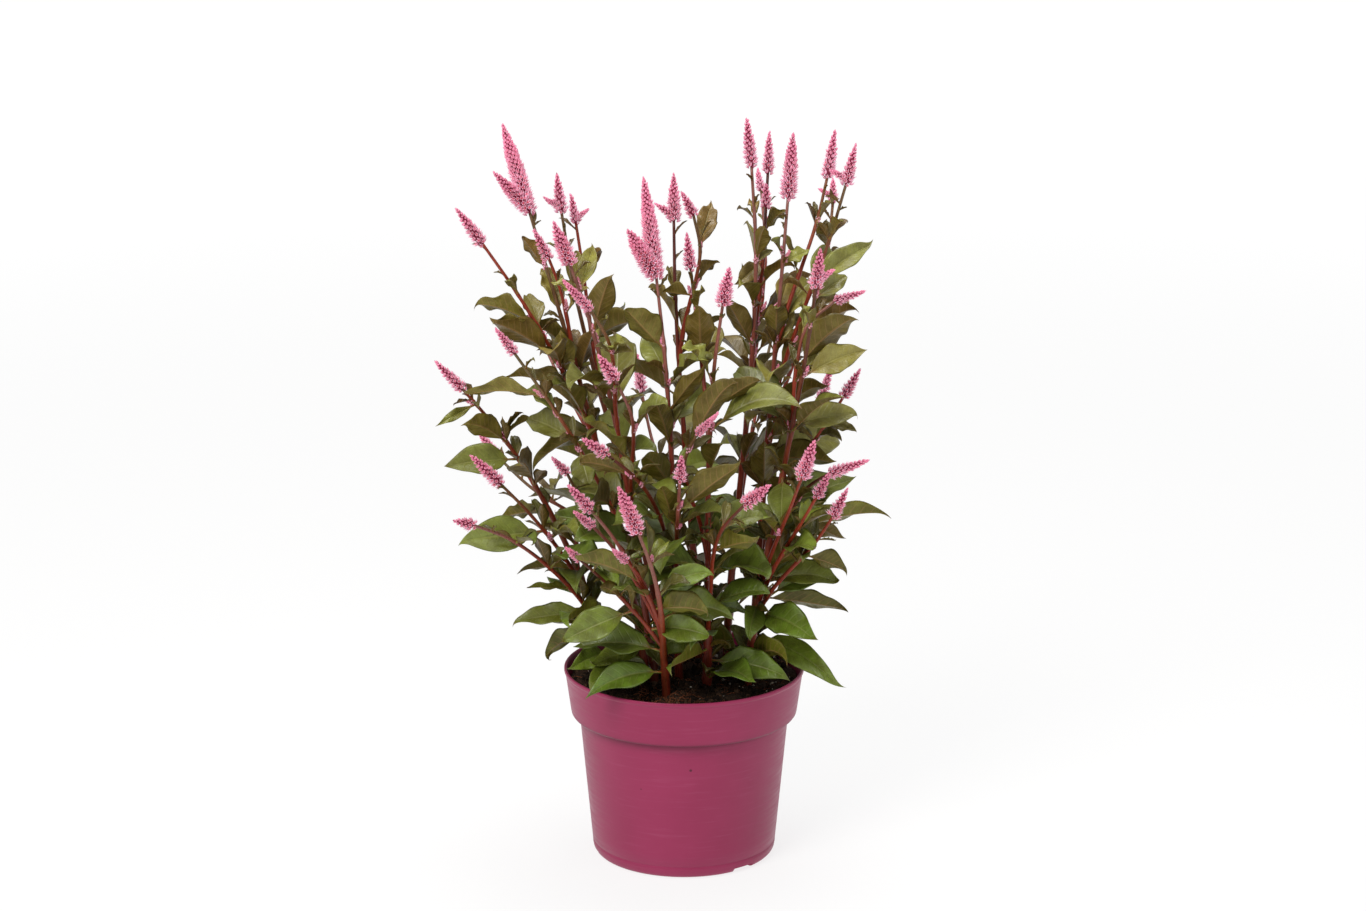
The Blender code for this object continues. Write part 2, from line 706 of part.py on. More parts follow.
def turned(name, profile, steps, collection):
    """A closed profile in the XZ plane turned round Z by a Screw modifier, as a mesh."""
    mesh = bpy.data.meshes.new(name)
    count = len(profile)
    mesh.from_pydata([(x, 0, z) for x, z in profile], [(k, k + 1) for k in range(count - 1)], [])
    obj = bpy.data.objects.new(name, mesh)
    collection.objects.link(obj)
    screw = obj.modifiers.new("turn", "SCREW")
    screw.steps = screw.render_steps = steps
    screw.use_merge_vertices = True
    screw.merge_threshold = 0.01 * MM
    bpy.context.view_layer.update()
    obj.data = bpy.data.meshes.new_from_object(obj.evaluated_get(bpy.context.evaluated_depsgraph_get()))
    obj.modifiers.clear()
    bpy.data.meshes.remove(mesh)
    return obj


def pot_profile():
    """The pot's section: outside from the rim down, underside, then up the inside back to the rim."""
    band_foot = POT_HEIGHT - BAND_DEPTH
    outside = [
        (RIM_RADIUS - 0.9 * MM, POT_HEIGHT),
        (RIM_RADIUS, POT_HEIGHT - 0.8 * MM),
        (RIM_RADIUS, POT_HEIGHT - 2.6 * MM),
        (RIM_RADIUS - 0.8 * MM, POT_HEIGHT - 3.6 * MM),
        (BAND_FOOT_RADIUS, band_foot + 1.5 * MM),
        (BAND_FOOT_RADIUS - 1.8 * MM, band_foot - 0.8 * MM),
        (WALL_TOP_RADIUS, band_foot - 2.2 * MM),
        (WALL_FOOT_RADIUS, 7 * MM),
        (WALL_FOOT_RADIUS - 1.1 * MM, 2.4 * MM),
        (SOLE_RADIUS, 0),
        (0, 0),
    ]
    inside = [
        (0, FLOOR),
        (SOLE_RADIUS - WALL, FLOOR),
        (WALL_FOOT_RADIUS - WALL, FLOOR + 3.5 * MM),
        (WALL_TOP_RADIUS - WALL, band_foot - 0.8 * MM),
        (BAND_FOOT_RADIUS - WALL, band_foot + 1 * MM),
        (RIM_RADIUS - WALL - 0.9 * MM, POT_HEIGHT),
        (RIM_RADIUS - 0.9 * MM, POT_HEIGHT),
    ]
    return outside + inside


def make_pot(collection, cutters):
    pot = turned("pot", pot_profile(), POT_STEPS, collection)
    tools = []
    for angle in NOTCH_ANGLES:
        bpy.ops.mesh.primitive_cube_add(size=1)
        notch = bpy.context.object
        notch.name = f"notch_{angle}"
        turn = math.radians(angle)
        reach = SOLE_RADIUS + 10 * MM - NOTCH_REACH / 2
        notch.location = (math.sin(turn) * reach, -math.cos(turn) * reach, NOTCH_HEIGHT / 2 - 2 * MM)
        notch.rotation_euler.z = turn
        notch.scale = (NOTCH_WIDTH, NOTCH_REACH, NOTCH_HEIGHT + 4 * MM)
        tools.append(notch)
    for k in range(6):
        bpy.ops.mesh.primitive_cylinder_add(vertices=6, radius=DRAIN_RADIUS, depth=20 * MM)
        hole = bpy.context.object
        hole.name = f"drain_{k}"
        turn = math.radians(11 + 60 * k)
        hole.location = (math.sin(turn) * DRAIN_CIRCLE, -math.cos(turn) * DRAIN_CIRCLE, 0)
        tools.append(hole)
    for tool in tools:
        for old in list(tool.users_collection):
            old.objects.unlink(tool)
        cutters.objects.link(tool)
    boolean(pot, "DIFFERENCE", cutters)
    for tool in tools:
        bpy.data.objects.remove(tool)
    pot.data.materials.append(material("pot_plastic", (0.36, 0.06, 0.16), 0.38))
    pot.data.shade_smooth()
    pot.data.set_sharp_from_angle(angle=math.radians(35))
    return pot


def soil_height(x, y):
    """The soil's surface: a low mound with a lumpy relief."""
    radius = np.hypot(x, y) / RIM_RADIUS
    lumps = np.sin(190 * x + 1) * np.cos(230 * y) + 0.6 * np.sin(410 * x - 330 * y)
    return SOIL_TOP + SOIL_MOUND * (1 - radius**2) + SOIL_RELIEF * 0.6 * lumps


def make_soil(stems, collection):
    """The soil fills the pot to the rim, with a plain hole for each stem."""
    band_foot = POT_HEIGHT - BAND_DEPTH
    air = WALL + 3 * GAP
    profile = [
        (RIM_RADIUS - air - 3 * MM, SOIL_TOP),
        (WALL_TOP_RADIUS - air, band_foot - 2 * MM),
        (WALL_FOOT_RADIUS - air - 0.5 * MM, FLOOR + 4 * MM),
        (SOLE_RADIUS - air - 1 * MM, FLOOR + GAP),
        (0, FLOOR + GAP),
    ]
    top = [(profile[0][0] * k / SOIL_RINGS, SOIL_TOP) for k in range(SOIL_RINGS)]
    soil = turned("soil", top + profile, SOIL_STEPS, collection)
    reach = profile[0][0] - 1 * MM
    for vertex in soil.data.vertices:
        x, y, z = vertex.co
        if z > SOIL_TOP - 0.1 * MM and math.hypot(x, y) < reach:
            vertex.co.z = float(soil_height(x, y))
    shape = bmesh.new()
    shape.from_mesh(soil.data)
    bmesh.ops.triangulate(shape, faces=shape.faces)
    bmesh.ops.recalc_face_normals(shape, faces=shape.faces)
    shape.to_mesh(soil.data)
    shape.free()
    holes = []
    for name, stem in stems.items():
        root = stem["paths"][0]["points"][0]
        deep = 60 * MM
        bpy.ops.mesh.primitive_cylinder_add(
            vertices=7, radius=MAIN_FOOT_RADIUS + HOLE_CLEARANCE, depth=deep,
            location=(root[0], root[1], root[2] - GAP + deep / 2),
        )
        hole = bpy.context.object
        hole.name = "hole_" + name
        hole.hide_render = True
        holes.append(hole)
    for hole in holes:
        boolean(soil, "DIFFERENCE", hole)
        bpy.data.objects.remove(hole)
    soil.data.materials.append(material("soil", (0.03, 0.018, 0.011), 0.95))
    return soil


def spike_profile(spike, u):
    """Radius of the floret tips along a spike: full near the foot, drawn to a point."""
    plump = 1.3 + 0.035 * max(spike["length"] / MM - 25, 0)
    return spike["radius"] * np.minimum(1, 0.72 + 2.5 * u) * (1 - u**plump) ** 0.85


def spike_solid(spike, pointed=False):
    """A spike as rings of pointed florets that stand out of a core, each turned half a step from the last."""
    way = spike["way"]
    around = 2 * (FLORETS_ROUND_SLIM if spike["radius"] < SLIM else FLORETS_ROUND)
    a = across(vector((0.2, 1, 0)), way)
    b = np.cross(way, a)
    rows = max(3, round(spike["length"] / FLORET_ROW))
    rings = []
    for k in range(rows + 1):
        u = 0.94 * k / rows
        tips = spike_profile(spike, u)
        core = max(tips - FLORET_REACH, 0.45 * tips)
        turns = np.arange(around) * math.tau / around
        out = (np.arange(around) + k) % 2 == 1
        raised = out & (0 < k < rows)
        radius = np.where(raised, tips, core)
        lift = u * spike["length"] + np.where(raised, FLORET_LIFT * (tips - core), 0)
        ring = np.cos(turns)[:, None] * a + np.sin(turns)[:, None] * b
        rings.append(spike["foot"] + radius[:, None] * ring + lift[:, None] * way)
    ends = [spike["foot"] + spike["length"] * way]
    if pointed:
        rings[0] = rings[0] + 1.5 * MM * way
        ends.append(spike["foot"])
    return np.vstack(rings + ends), loft_faces(len(rings), around, checker=True, pointed=pointed)


def make_spike(name, spike, collection, finish):
    body = put(mesh_object(name, spike_solid(spike)), collection, finish)
    sides = spike.get("sides", [])
    if sides:
        fuse(body, [mesh_object(f"{name}_side", spike_solid(side, True)) for side in sides], name + "_sides")
    return body


def make_leafy_stem(stem, collection, finish):
    main, *branches = stem["paths"]
    body = tube_object("stem_" + stem["name"], main["points"], main["radii"], collection, 1)
    put(body, collection, finish)
    repeats = [
        tube_object(f"branch_{k}", path["points"], path["radii"], collection, 0)
        for k, path in enumerate(branches)
    ]
    repeats += [mesh_object(f"leaf_{k}", leaf_solid(leaf)) for k, leaf in enumerate(stem["leaves"])]
    fuse(body, repeats, "repeats_" + stem["name"])
    return body


def main():
    for obj in list(bpy.data.objects):
        bpy.data.objects.remove(obj)
    plant = bpy.data.collections.new("potted_celosia")
    cutters = bpy.data.collections.new("cutters")
    bpy.context.scene.collection.children.link(plant)
    bpy.context.scene.collection.children.link(cutters)
    cutters.hide_render = True
    stems, _ = grow_plant()
    make_pot(plant, cutters)
    make_soil(stems, plant)
    foliage = material("foliage", (0.12, 0.17, 0.05), 0.55)
    petals = material("petals", (0.72, 0.16, 0.33), 0.6)
    for name, stem in stems.items():
        make_leafy_stem(stem, plant, foliage)
        for k, spike in enumerate(stem["spikes"]):
            make_spike(f"spike_{name}_{k + 1}", spike, plant, petals)


if __name__ == "__main__":
    main()
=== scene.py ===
"""The look of a potted celosia with slim pink spikes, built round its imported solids.

The planting plan and the layout rules are those of the solids, so every fine piece lies where its
solid does. Leaves, stalks, florets, soil and pot are surfaces worked out as whole arrays.
The origin is the middle of the pot's underside, +Z is up and -Y is the front of the plant.
"""

import math

import bpy
import numpy as np
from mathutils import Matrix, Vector
from mathutils.bvhtree import BVHTree


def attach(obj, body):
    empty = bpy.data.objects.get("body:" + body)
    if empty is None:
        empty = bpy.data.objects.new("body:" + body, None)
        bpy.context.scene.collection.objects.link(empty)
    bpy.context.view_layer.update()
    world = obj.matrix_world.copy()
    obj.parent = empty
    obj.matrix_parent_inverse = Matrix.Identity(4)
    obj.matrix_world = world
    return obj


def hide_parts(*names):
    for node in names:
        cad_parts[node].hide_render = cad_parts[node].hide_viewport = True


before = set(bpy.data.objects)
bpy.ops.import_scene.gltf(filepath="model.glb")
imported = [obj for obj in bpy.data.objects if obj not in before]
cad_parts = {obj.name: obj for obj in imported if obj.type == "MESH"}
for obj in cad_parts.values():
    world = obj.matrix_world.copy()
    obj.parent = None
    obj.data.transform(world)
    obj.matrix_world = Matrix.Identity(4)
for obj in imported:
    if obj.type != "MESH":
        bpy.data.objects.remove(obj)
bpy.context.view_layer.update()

MM = 0.001

# Pot
POT_HEIGHT = 152 * MM
RIM_RADIUS = 95 * MM
BAND_FOOT_RADIUS = 89.7 * MM
BAND_DEPTH = 38 * MM
WALL_TOP_RADIUS = 82.7 * MM
WALL_FOOT_RADIUS = 73 * MM
SOLE_RADIUS = 69 * MM
WALL = 1.8 * MM
FLOOR = 5.2 * MM
NOTCH_ANGLES = (41, 161, 281)
NOTCH_WIDTH = 19 * MM
NOTCH_HEIGHT = 3.2 * MM
NOTCH_REACH = 22 * MM

# Soil
SOIL_TOP = 142 * MM
SOIL_MOUND = 4 * MM
SOIL_RELIEF = 2 * MM
GAP = 0.3 * MM

# Stems
ROOT_DEPTH = 26 * MM
NECK = 8 * MM
MAIN_FOOT_RADIUS = 3.6 * MM
STALK_TIP_RADIUS = 1.2 * MM
BRANCH_RADIUS = 2.0 * MM
MAIN_POINTS = 7
BRANCH_POINTS = 5

# Leaves
LEAF_LENGTH_LOW = 78
LEAF_LENGTH_HIGH = 50
LEAF_STEP = 40
PETIOLE_SHARE = 0.14
PETIOLE_RADIUS = 1.1 * MM
ROOT_SINK = 1.2 * MM
MIDRIB_THICKNESS = 1.2 * MM
LEAF_CLEARANCE = 0.8 * MM
MOST_ROLL = math.radians(52)
CHOSEN_WIDTH = 1.14
BARE_STALK = 34 * MM
CROWN_LOW_RADIUS = 112 * MM
CROWN_RADIUS = 142 * MM
SEEN_BEFORE = 60 * MM
SEEN_ABOVE = 450 * MM

# Flower spikes
FULLNESS = 1.1

# How a chosen leaf gives way: tip to the back, tip up, more bow
LEAF_TRIES = (
    (0, 0, 0), (0, 0, 0.12), (9, 0, 0), (-9, 0, 0), (0, 8, 0), (18, 4, 0.1), (-18, 4, 0.1),
    (27, 8, 0), (-27, 8, 0), (0, -8, 0.2), (36, 0, 0.2), (-36, 0, 0.2), (0, 6, 0.3),
)

# How a leaf of the spiral gives way: degrees further round the stem, share of its length
TURN_TRIES = (
    (0, 1), (35, 1), (-35, 1), (70, 1), (-70, 0.9), (110, 0.85), (-110, 0.85), (150, 0.75),
)

# Where each leafy stem leaves the soil: x, y in millimetres
STEM_FEET = {
    "left_tall": (-32, 12),
    "left_back": (-16, 40),
    "left_front": (-24, -22),
    "left_low": (-54, -10),
    "middle": (-4, -12),
    "middle_back": (12, 36),
    "middle_front": (18, -34),
    "right_back": (34, 24),
    "right": (54, 4),
    "right_front": (50, -24),
    "front_low": (-14, -52),
}

# The spikes of each stem. The first ends the main stem, the others end side branches.
# fork height, foot x, y, z, length, lean to the right, lean to the back, radius
SPIKES = {
    "left_tall": (
        (0, -119, 19, 512, 72, -17, 9, 6.9),
        (330, -152, -40, 499, 37, -33, -18, 5.5),
        (380, -104, 0, 480, 29, -24, -20, 5.0),
    ),
    "left_back": (
        (0, -96, 60, 505, 32, -7, 9, 5.6),
        (360, -86, 95, 490, 24, -10, 12, 4.8),
        (250, -115, 130, 385, 34, -25, 30, 5.5),
        (215, -150, 85, 300, 30, -40, 20, 5.0),
    ),
    "left_front": (
        (0, -86, -50, 486, 38, -19, -16, 7.0),
        (340, -70, -95, 460, 34, -38, -22, 4.4),
        (280, -51, -120, 413, 27, -30, -25, 6.2),
        (235, -128, -60, 419, 28, -32, -24, 4.6),
    ),
    "left_low": (
        (0, -171, -10, 379, 33, -41, -12, 5.1),
        (215, -140, -60, 317, 38, -39, -29, 5.7),
        (190, -160, -80, 290, 22, -62, -62, 5.5),
        (230, -91, -20, 315, 22, -36, -34, 4.4),
    ),
    "middle": (
        (0, -21, -42, 474, 78, -7, 0, 6.5),
        (235, -58, -130, 359, 28, -48, -43, 5.2),
        (225, -3, -130, 339, 25, 3, -25, 5.2),
    ),
    "middle_back": (
        (0, -8, 50, 500, 38, 0, 8, 6.0),
        (390, 7, 20, 510, 23, -25, -15, 5.0),
        (220, -35, 165, 335, 34, -8, 30, 5.5),
    ),
    "middle_front": (
        (0, 29, -75, 460, 33, 9, -18, 6.6),
        (340, 5, -15, 475, 30, -6, -10, 5.5),
        (250, 10, -90, 364, 27, 40, -28, 3.8),
        (195, 45, -150, 326, 34, 42, -44, 6.0),
    ),
    "right_back": (
        (0, 52, 30, 546, 39, -6, 0, 5.6),
        (400, 66, 80, 533, 33, 2, 9, 5.0),
        (380, 64, 55, 510, 20, 0, 0, 5.2),
        (330, 62, 130, 510, 20, -10, 30, 4.2),
        (250, 75, 160, 395, 34, 15, 30, 5.5),
    ),
    "right": (
        (0, 80, 20, 523, 52, 4, 0, 6.6),
        (400, 111, 40, 536, 38, 9, 8, 5.6),
        (350, 123, -10, 539, 34, 12, -9, 5.4),
        (320, 119, 110, 505, 20, 0, 30, 4.6),
        (235, 112, 135, 335, 32, 20, 30, 5.2),
    ),
    "right_front": (
        (0, 99, -60, 470, 34, 5, -17, 6.0),
        (330, 116, -20, 451, 25, 70, -20, 4.4),
        (290, 124, 0, 371, 28, 28, -12, 5.2),
        (225, 88, -110, 336, 34, 16, -17, 6.6),
        (210, 100, -92, 316, 27, 22, -28, 5.2),
        (240, 112, -40, 320, 35, 66, -38, 5.0),
        (200, 113, -80, 297, 29, 22, -22, 5.5),
    ),
    "front_low": (
        (0, -34, -170, 311, 44, -20, -21, 6.9),
        (215, -69, -150, 322, 32, -35, -33, 5.2),
        (205, -69, -110, 298, 26, -41, -43, 4.3),
        (190, -79, -100, 269, 19, -40, -38, 3.8),
        (195, -43, -140, 280, 23, -38, -49, 3.8),
    ),
}

# Small spikes that grow out of the foot of a larger one.
# stem, number of its spike, height above that spike's foot, length, lean right, lean back, radius
SIDE_SPIKES = (
    ("left_tall", 0, 3, 45, -39, -28, 6.6),
    ("left_back", 0, 3, 17, -58, 0, 3.6),
    ("left_back", 1, 3, 14, 55, 10, 3.2),
    ("middle", 0, 1.5, 48, -29, -25, 8.6),
    ("middle_back", 0, 3, 20, -52, -20, 4.2),
    ("right", 2, 4, 17, -60, -20, 3.8),
    ("right", 3, 3, 14, -60, 10, 3.2),
    ("right_front", 0, 5, 17, 55, -10, 3.8),
)

# Leaves that stand out in the outline, placed one by one.
# stem: number of its path, height of the joint, tip x, y, z, width
CHOSEN_LEAVES = (
    ("left_tall", (
        (1, 432, -163, -20, 448, 20), (1, 422, -148, -40, 440, 15), (0, 469, -126, 10, 497, 13),
        (1, 404, -148, -36, 440, 22), (0, 341, -122, 20, 307, 20), (2, 387, -69, 0, 424, 20),
        (1, 387, -95, -10, 426, 20),
    )),
    ("left_front", (
        (3, 382, -173, -30, 377, 19), (3, 345, -125, -10, 356, 22), (3, 338, -72, -42, 311, 20),
    )),
    ("left_low", (
        (0, 366, -191, -30, 354, 8), (0, 334, -168, -50, 361, 20), (0, 320, -187, -20, 319, 25),
        (1, 272, -175, -60, 269, 28), (0, 280, -146, 0, 272, 16), (0, 233, -131, -20, 234, 15),
        (2, 222, -123, -50, 231, 10), (0, 200, -138, -20, 194, 18), (0, 176, -115, 20, 147, 20),
        (0, 165, -90, -40, 160, 18),
    )),
    ("left_front", (
        (0, 179, -75, -62, 170, 18), (0, 183, -51, -60, 185, 14), (0, 461, -68, -20, 494, 14),
        (0, 430, -55, -60, 479, 20),
    )),
    ("middle", (
        (0, 417, -47, -50, 454, 26), (0, 366, 16, -80, 411, 15), (1, 333, -83, -120, 349, 18),
        (2, 308, 44, -120, 349, 24), (2, 286, -18, -110, 333, 18), (0, 340, -24, -60, 384, 18),
        (0, 303, -32, -60, 340, 20), (2, 236, -26, -70, 279, 20), (0, 399, -32, -20, 428, 20),
    )),
    ("middle_back", (
        (1, 481, 22, 60, 512, 16), (1, 442, -19, 32, 447, 16),
    )),
    ("middle_front", (
        (1, 406, 11, -60, 458, 22), (0, 373, 60, -60, 400, 20), (2, 346, 41, -110, 400, 21),
        (3, 276, 55, -140, 294, 21), (0, 176, -14, -112, 186, 25), (0, 184, -26, -86, 171, 26),
        (0, 167, 84, -50, 156, 24),
    )),
    ("right_back", (
        (2, 468, 40, 20, 452, 14), (0, 405, 31, 18, 447, 18), (3, 431, 45, 52, 462, 16),
    )),
    ("right", (
        (1, 404, 81, 30, 441, 20), (0, 473, 98, 32, 482, 12), (3, 469, 110, 60, 499, 15),
        (0, 473, 81, 40, 501, 10), (0, 407, 72, 42, 440, 18), (0, 293, 62, -20, 341, 20),
        (2, 458, 148, 20, 488, 18), (0, 315, 118, -20, 319, 28), (0, 172, 125, -40, 141, 20),
    )),
    ("right_front", (
        (0, 461, 125, -40, 476, 15), (1, 400, 131, -40, 443, 27), (0, 395, 140, -30, 414, 22),
        (1, 358, 137, -30, 366, 22), (2, 350, 135, -12, 346, 9), (5, 264, 162, -40, 287, 27),
        (6, 260, 128, -50, 243, 17), (0, 219, 132, -10, 201, 19), (0, 236, 104, -85, 264, 24),
        (0, 204, 103, -80, 195, 26), (4, 211, 49, -42, 186, 20), (0, 316, 74, -66, 285, 20),
        (0, 162, 82, -95, 171, 25),
    )),
    ("front_low", (
        (1, 231, 22, -130, 235, 27), (0, 165, -76, -98, 157, 22), (3, 224, -96, -100, 202, 25),
        (4, 256, -86, -130, 277, 25),
    )),
)


def vector(values):
    return np.array(values, float)


def unit(v):
    return v / max(np.linalg.norm(v), 1e-9)


def across(v, axis):
    """The part of v square to axis, as a unit vector."""
    return unit(v - (v @ axis) * axis)


UP = vector((0, 0, 1))


# Layout: the paths of the stems, the axes of the spikes and the ribs of the leaves


def arc(start, start_way, end, end_way, count):
    """Points of the cubic that leaves start along start_way and reaches end along end_way."""
    t = np.linspace(0, 1, count)[:, None]
    span = np.linalg.norm(end - start)
    return (
        (2 * t**3 - 3 * t**2 + 1) * start
        + (t**3 - 2 * t**2 + t) * start_way * span
        + (3 * t**2 - 2 * t**3) * end
        + (t**3 - t**2) * end_way * span
    )


def leave_gap(path, way):
    """Draws the end of a stalk back from the foot of its spike, further where it meets it at a slant."""
    slant = np.linalg.norm(np.cross(unit(path[-1] - path[-2]), way))
    path[-1] -= (1.5 * GAP + STALK_TIP_RADIUS * slant) * way


def at_height(path, height):
    """The point of a path at a height, and the path's way there."""
    k = int(np.clip(np.searchsorted(path[:, 2], height), 1, len(path) - 1))
    share = (height - path[k - 1, 2]) / (path[k, 2] - path[k - 1, 2])
    way = path[k] - path[k - 1]
    return path[k - 1] + np.clip(share, 0, 1) * way, unit(way)


def lean(right, back):
    """The way that leans by these angles from upright."""
    return unit(vector((math.tan(math.radians(right)), math.tan(math.radians(back)), 1)))


def spike_of(row):
    foot, length, way = vector(row[1:4]) * MM, row[4] * MM, lean(row[5], row[6])
    return {"foot": foot, "way": way, "length": length, "radius": FULLNESS * row[7] * MM}


def grow_stem(name):
    """The main path of a stem and its branches, each with points and radii, and its spikes."""
    x, y = STEM_FEET[name]
    rows = SPIKES[name]
    spikes = [spike_of(row) for row in rows]
    neck = vector((x * MM, y * MM, SOIL_TOP + NECK))
    root = neck - UP * (NECK + ROOT_DEPTH)
    top = spikes[0]
    start_way = unit(unit(top["foot"] - neck) + 0.6 * UP)
    main = np.vstack([root, arc(neck, start_way, top["foot"], top["way"], MAIN_POINTS)])
    leave_gap(main, top["way"])
    radii = np.linspace(MAIN_FOOT_RADIUS, STALK_TIP_RADIUS, len(main))
    radii[:2] = MAIN_FOOT_RADIUS
    paths = [{"points": main, "radii": radii, "main": True}]
    for row, spike in zip(rows[1:], spikes[1:]):
        fork, way = at_height(main, row[0] * MM)
        start_way = unit(way + 1.3 * unit(spike["foot"] - fork))
        points = arc(fork, start_way, spike["foot"], spike["way"], BRANCH_POINTS)
        leave_gap(points, spike["way"])
        radii = np.linspace(BRANCH_RADIUS, STALK_TIP_RADIUS, len(points))
        paths.append({"points": points, "radii": radii, "main": False})
    for stem, number, height, length, right, back, radius in SIDE_SPIKES:
        if stem == name:
            parent = spikes[number]
            foot = parent["foot"] + parent["way"] * height * MM
            side = {"foot": foot, "way": lean(right, back), "length": length * MM}
            side["radius"] = FULLNESS * radius * MM
            parent.setdefault("sides", []).append(side)
    return {"name": name, "paths": paths, "spikes": spikes, "leaves": []}


def rib(root, tip, arch, count):
    """Points of a leaf's midrib: it rises from the joint, bows over the straight line and hangs."""
    t = np.linspace(0, 1, count)[:, None]
    span = tip - root
    bow = arch * np.linalg.norm(span) * UP
    first, second = root + 0.33 * span + 1.1 * bow, root + 0.72 * span + 1.2 * bow
    return (1 - t) ** 3 * root + 3 * (1 - t) ** 2 * t * first + 3 * (1 - t) * t**2 * second + t**3 * tip


def blade_share(t):
    """Half width of the blade along its length, as a share of the largest, with a drawn out tip."""
    u = np.clip((t - PETIOLE_SHARE) / (1 - PETIOLE_SHARE), 0, 1)
    return (u / 0.4) ** 0.8 * ((1 - u) / 0.6) ** 1.2


def leaf_frames(leaf, t):
    """The points of the midrib at t, with the blade's side way and upper side there."""
    fine = rib(leaf["root"], leaf["tip"], leaf["arch"], 41)
    where = np.linspace(0, 1, 41)
    points = np.stack([np.interp(t, where, fine[:, k]) for k in range(3)], 1)
    ahead = np.stack([np.interp(np.minimum(t + 0.02, 1), where, fine[:, k]) for k in range(3)], 1)
    behind = np.stack([np.interp(np.maximum(t - 0.02, 0), where, fine[:, k]) for k in range(3)], 1)
    ways = ahead - behind
    ways /= np.linalg.norm(ways, axis=1)[:, None]
    sides = np.cross(ways, leaf["face"])
    sides /= np.linalg.norm(sides, axis=1)[:, None]
    faces = np.cross(sides, ways)
    turn = (leaf["twist"] * t)[:, None]
    return points, sides * np.cos(turn) + faces * np.sin(turn), faces * np.cos(turn) - sides * np.sin(turn)


def leaf_rings(leaf, stations, swell=0.0):
    """Four-point sections of the folded blade: left edge, upper rib, right edge, lower rib."""
    t = vector(stations)
    points, sides, faces = leaf_frames(leaf, t)
    half = np.maximum(blade_share(t) * leaf["width"] / 2, PETIOLE_RADIUS) + swell
    reach = (half * math.cos(leaf["fold"]))[:, None] * sides
    rise = (half * math.sin(leaf["fold"]) * (half > 2 * PETIOLE_RADIUS))[:, None] * faces
    thick = (MIDRIB_THICKNESS / 2 + swell) * faces
    return np.stack([points - reach + rise, points + thick, points + reach + rise, points - thick], 1)


def new_leaf(root, tip, width, arch, twist, fold, roll=None):
    """A leaf from its joint to its tip. Its upper side faces up, rolled to the side that it stands on.

    With no roll given, it is rolled by up to MOST_ROLL until it shows the front most of a side.
    """
    way = unit(tip - root)
    face = across(UP - 0.5 * unit(vector((*way[:2], 0))), way)
    side = np.cross(way, face)
    if side @ vector((0.4 * root[0], root[1], 0)) < 0:
        side = -side
    if roll is None:
        rolls = np.linspace(-MOST_ROLL, MOST_ROLL, 9)
        roll = rolls[np.argmax(np.abs(np.cos(rolls) * face[1] + np.sin(rolls) * side[1]))]
    face = math.cos(roll) * face + math.sin(roll) * side
    shape = {"width": width, "arch": arch, "twist": twist, "fold": fold}
    return {"root": root, "tip": tip, "face": face, **shape}


def loft_faces(rings, sides, pointed=False):
    """Triangles between successive rings and a fan to the tip, the first ring capped or drawn to a point."""
    faces = []
    for k in range(rings - 1):
        for j in range(sides):
            a, b = k * sides + j, k * sides + (j + 1) % sides
            c, d = b + sides, a + sides
            faces += [(a, b, d), (b, c, d)] if j % 2 else [(a, b, c), (a, c, d)]
    last = (rings - 1) * sides
    faces += [(last + j, last + (j + 1) % sides, last + sides) for j in range(sides)]
    if pointed:
        faces += [((j + 1) % sides, j, last + sides + 1) for j in range(sides)]
    else:
        faces.append(tuple(range(sides))[::-1])
    return faces


def leaf_stations(leaf):
    """Where the plain solid of a leaf has its sections."""
    long = np.linalg.norm(leaf["tip"] - leaf["root"]) > 62 * MM
    return (PETIOLE_SHARE, 0.42, 0.74) if long else (0.34, 0.68)


def leaf_solid(leaf, first=0.0, swell=0.0):
    """Vertices and faces of the plain solid of a leaf, from the share `first` of its length on."""
    stations = [max(t, first) for t in leaf_stations(leaf)]
    rings = leaf_rings(leaf, stations, swell)
    tip = leaf["tip"] + swell * unit(leaf["tip"] - leaf["root"])
    if first:
        return np.vstack([rings.reshape(-1, 3), tip]), loft_faces(len(stations), 4)
    root = leaf["root"] + ROOT_SINK * unit(leaf["root"] - rings[0].mean(0))
    return np.vstack([rings.reshape(-1, 3), tip, root]), loft_faces(len(stations), 4, pointed=True)


def tube_solid(points, radii):
    """A three-sided tube round a path, as the space that a stem takes."""
    ways = np.gradient(points, axis=0)
    a = np.cross(ways, vector((0.3, 0.9, 0.1)))
    a /= np.linalg.norm(a, axis=1)[:, None]
    b = np.cross(ways, a)
    b /= np.linalg.norm(b, axis=1)[:, None]
    rings = [
        points + 1.2 * radii[:, None] * (math.cos(turn) * a + math.sin(turn) * b)
        for turn in np.arange(3) * math.tau / 3
    ]
    verts = np.vstack([np.stack(rings, 1).reshape(-1, 3), points[-1]])
    return verts, loft_faces(len(points), 3)


def spike_space(spike):
    """A six-sided cone round a spike, as the space that it takes."""
    way = spike["way"]
    a = across(vector((1, 0.2, 0)), way)
    b = np.cross(way, a)
    turns = np.arange(6) * math.tau / 6
    ring = np.cos(turns)[:, None] * a + np.sin(turns)[:, None] * b
    low = spike["foot"] - 1 * MM * way + spike["radius"] * ring
    high = spike["foot"] + 0.6 * spike["length"] * way + 0.9 * spike["radius"] * ring
    tip = spike["foot"] + (spike["length"] + 1 * MM) * way
    return np.vstack([low, high, tip]), loft_faces(2, 6)


def front_window(spike):
    """A flat strip from a spike towards the front and a little up, which no leaf may cross."""
    to_front = unit(vector((0, -0.96, 0.28))) * 0.2
    low, high = spike["foot"], spike["foot"] + spike["length"] * spike["way"]
    return np.array([low, high, high + to_front, low + to_front]), [(0, 1, 2), (0, 2, 3)]


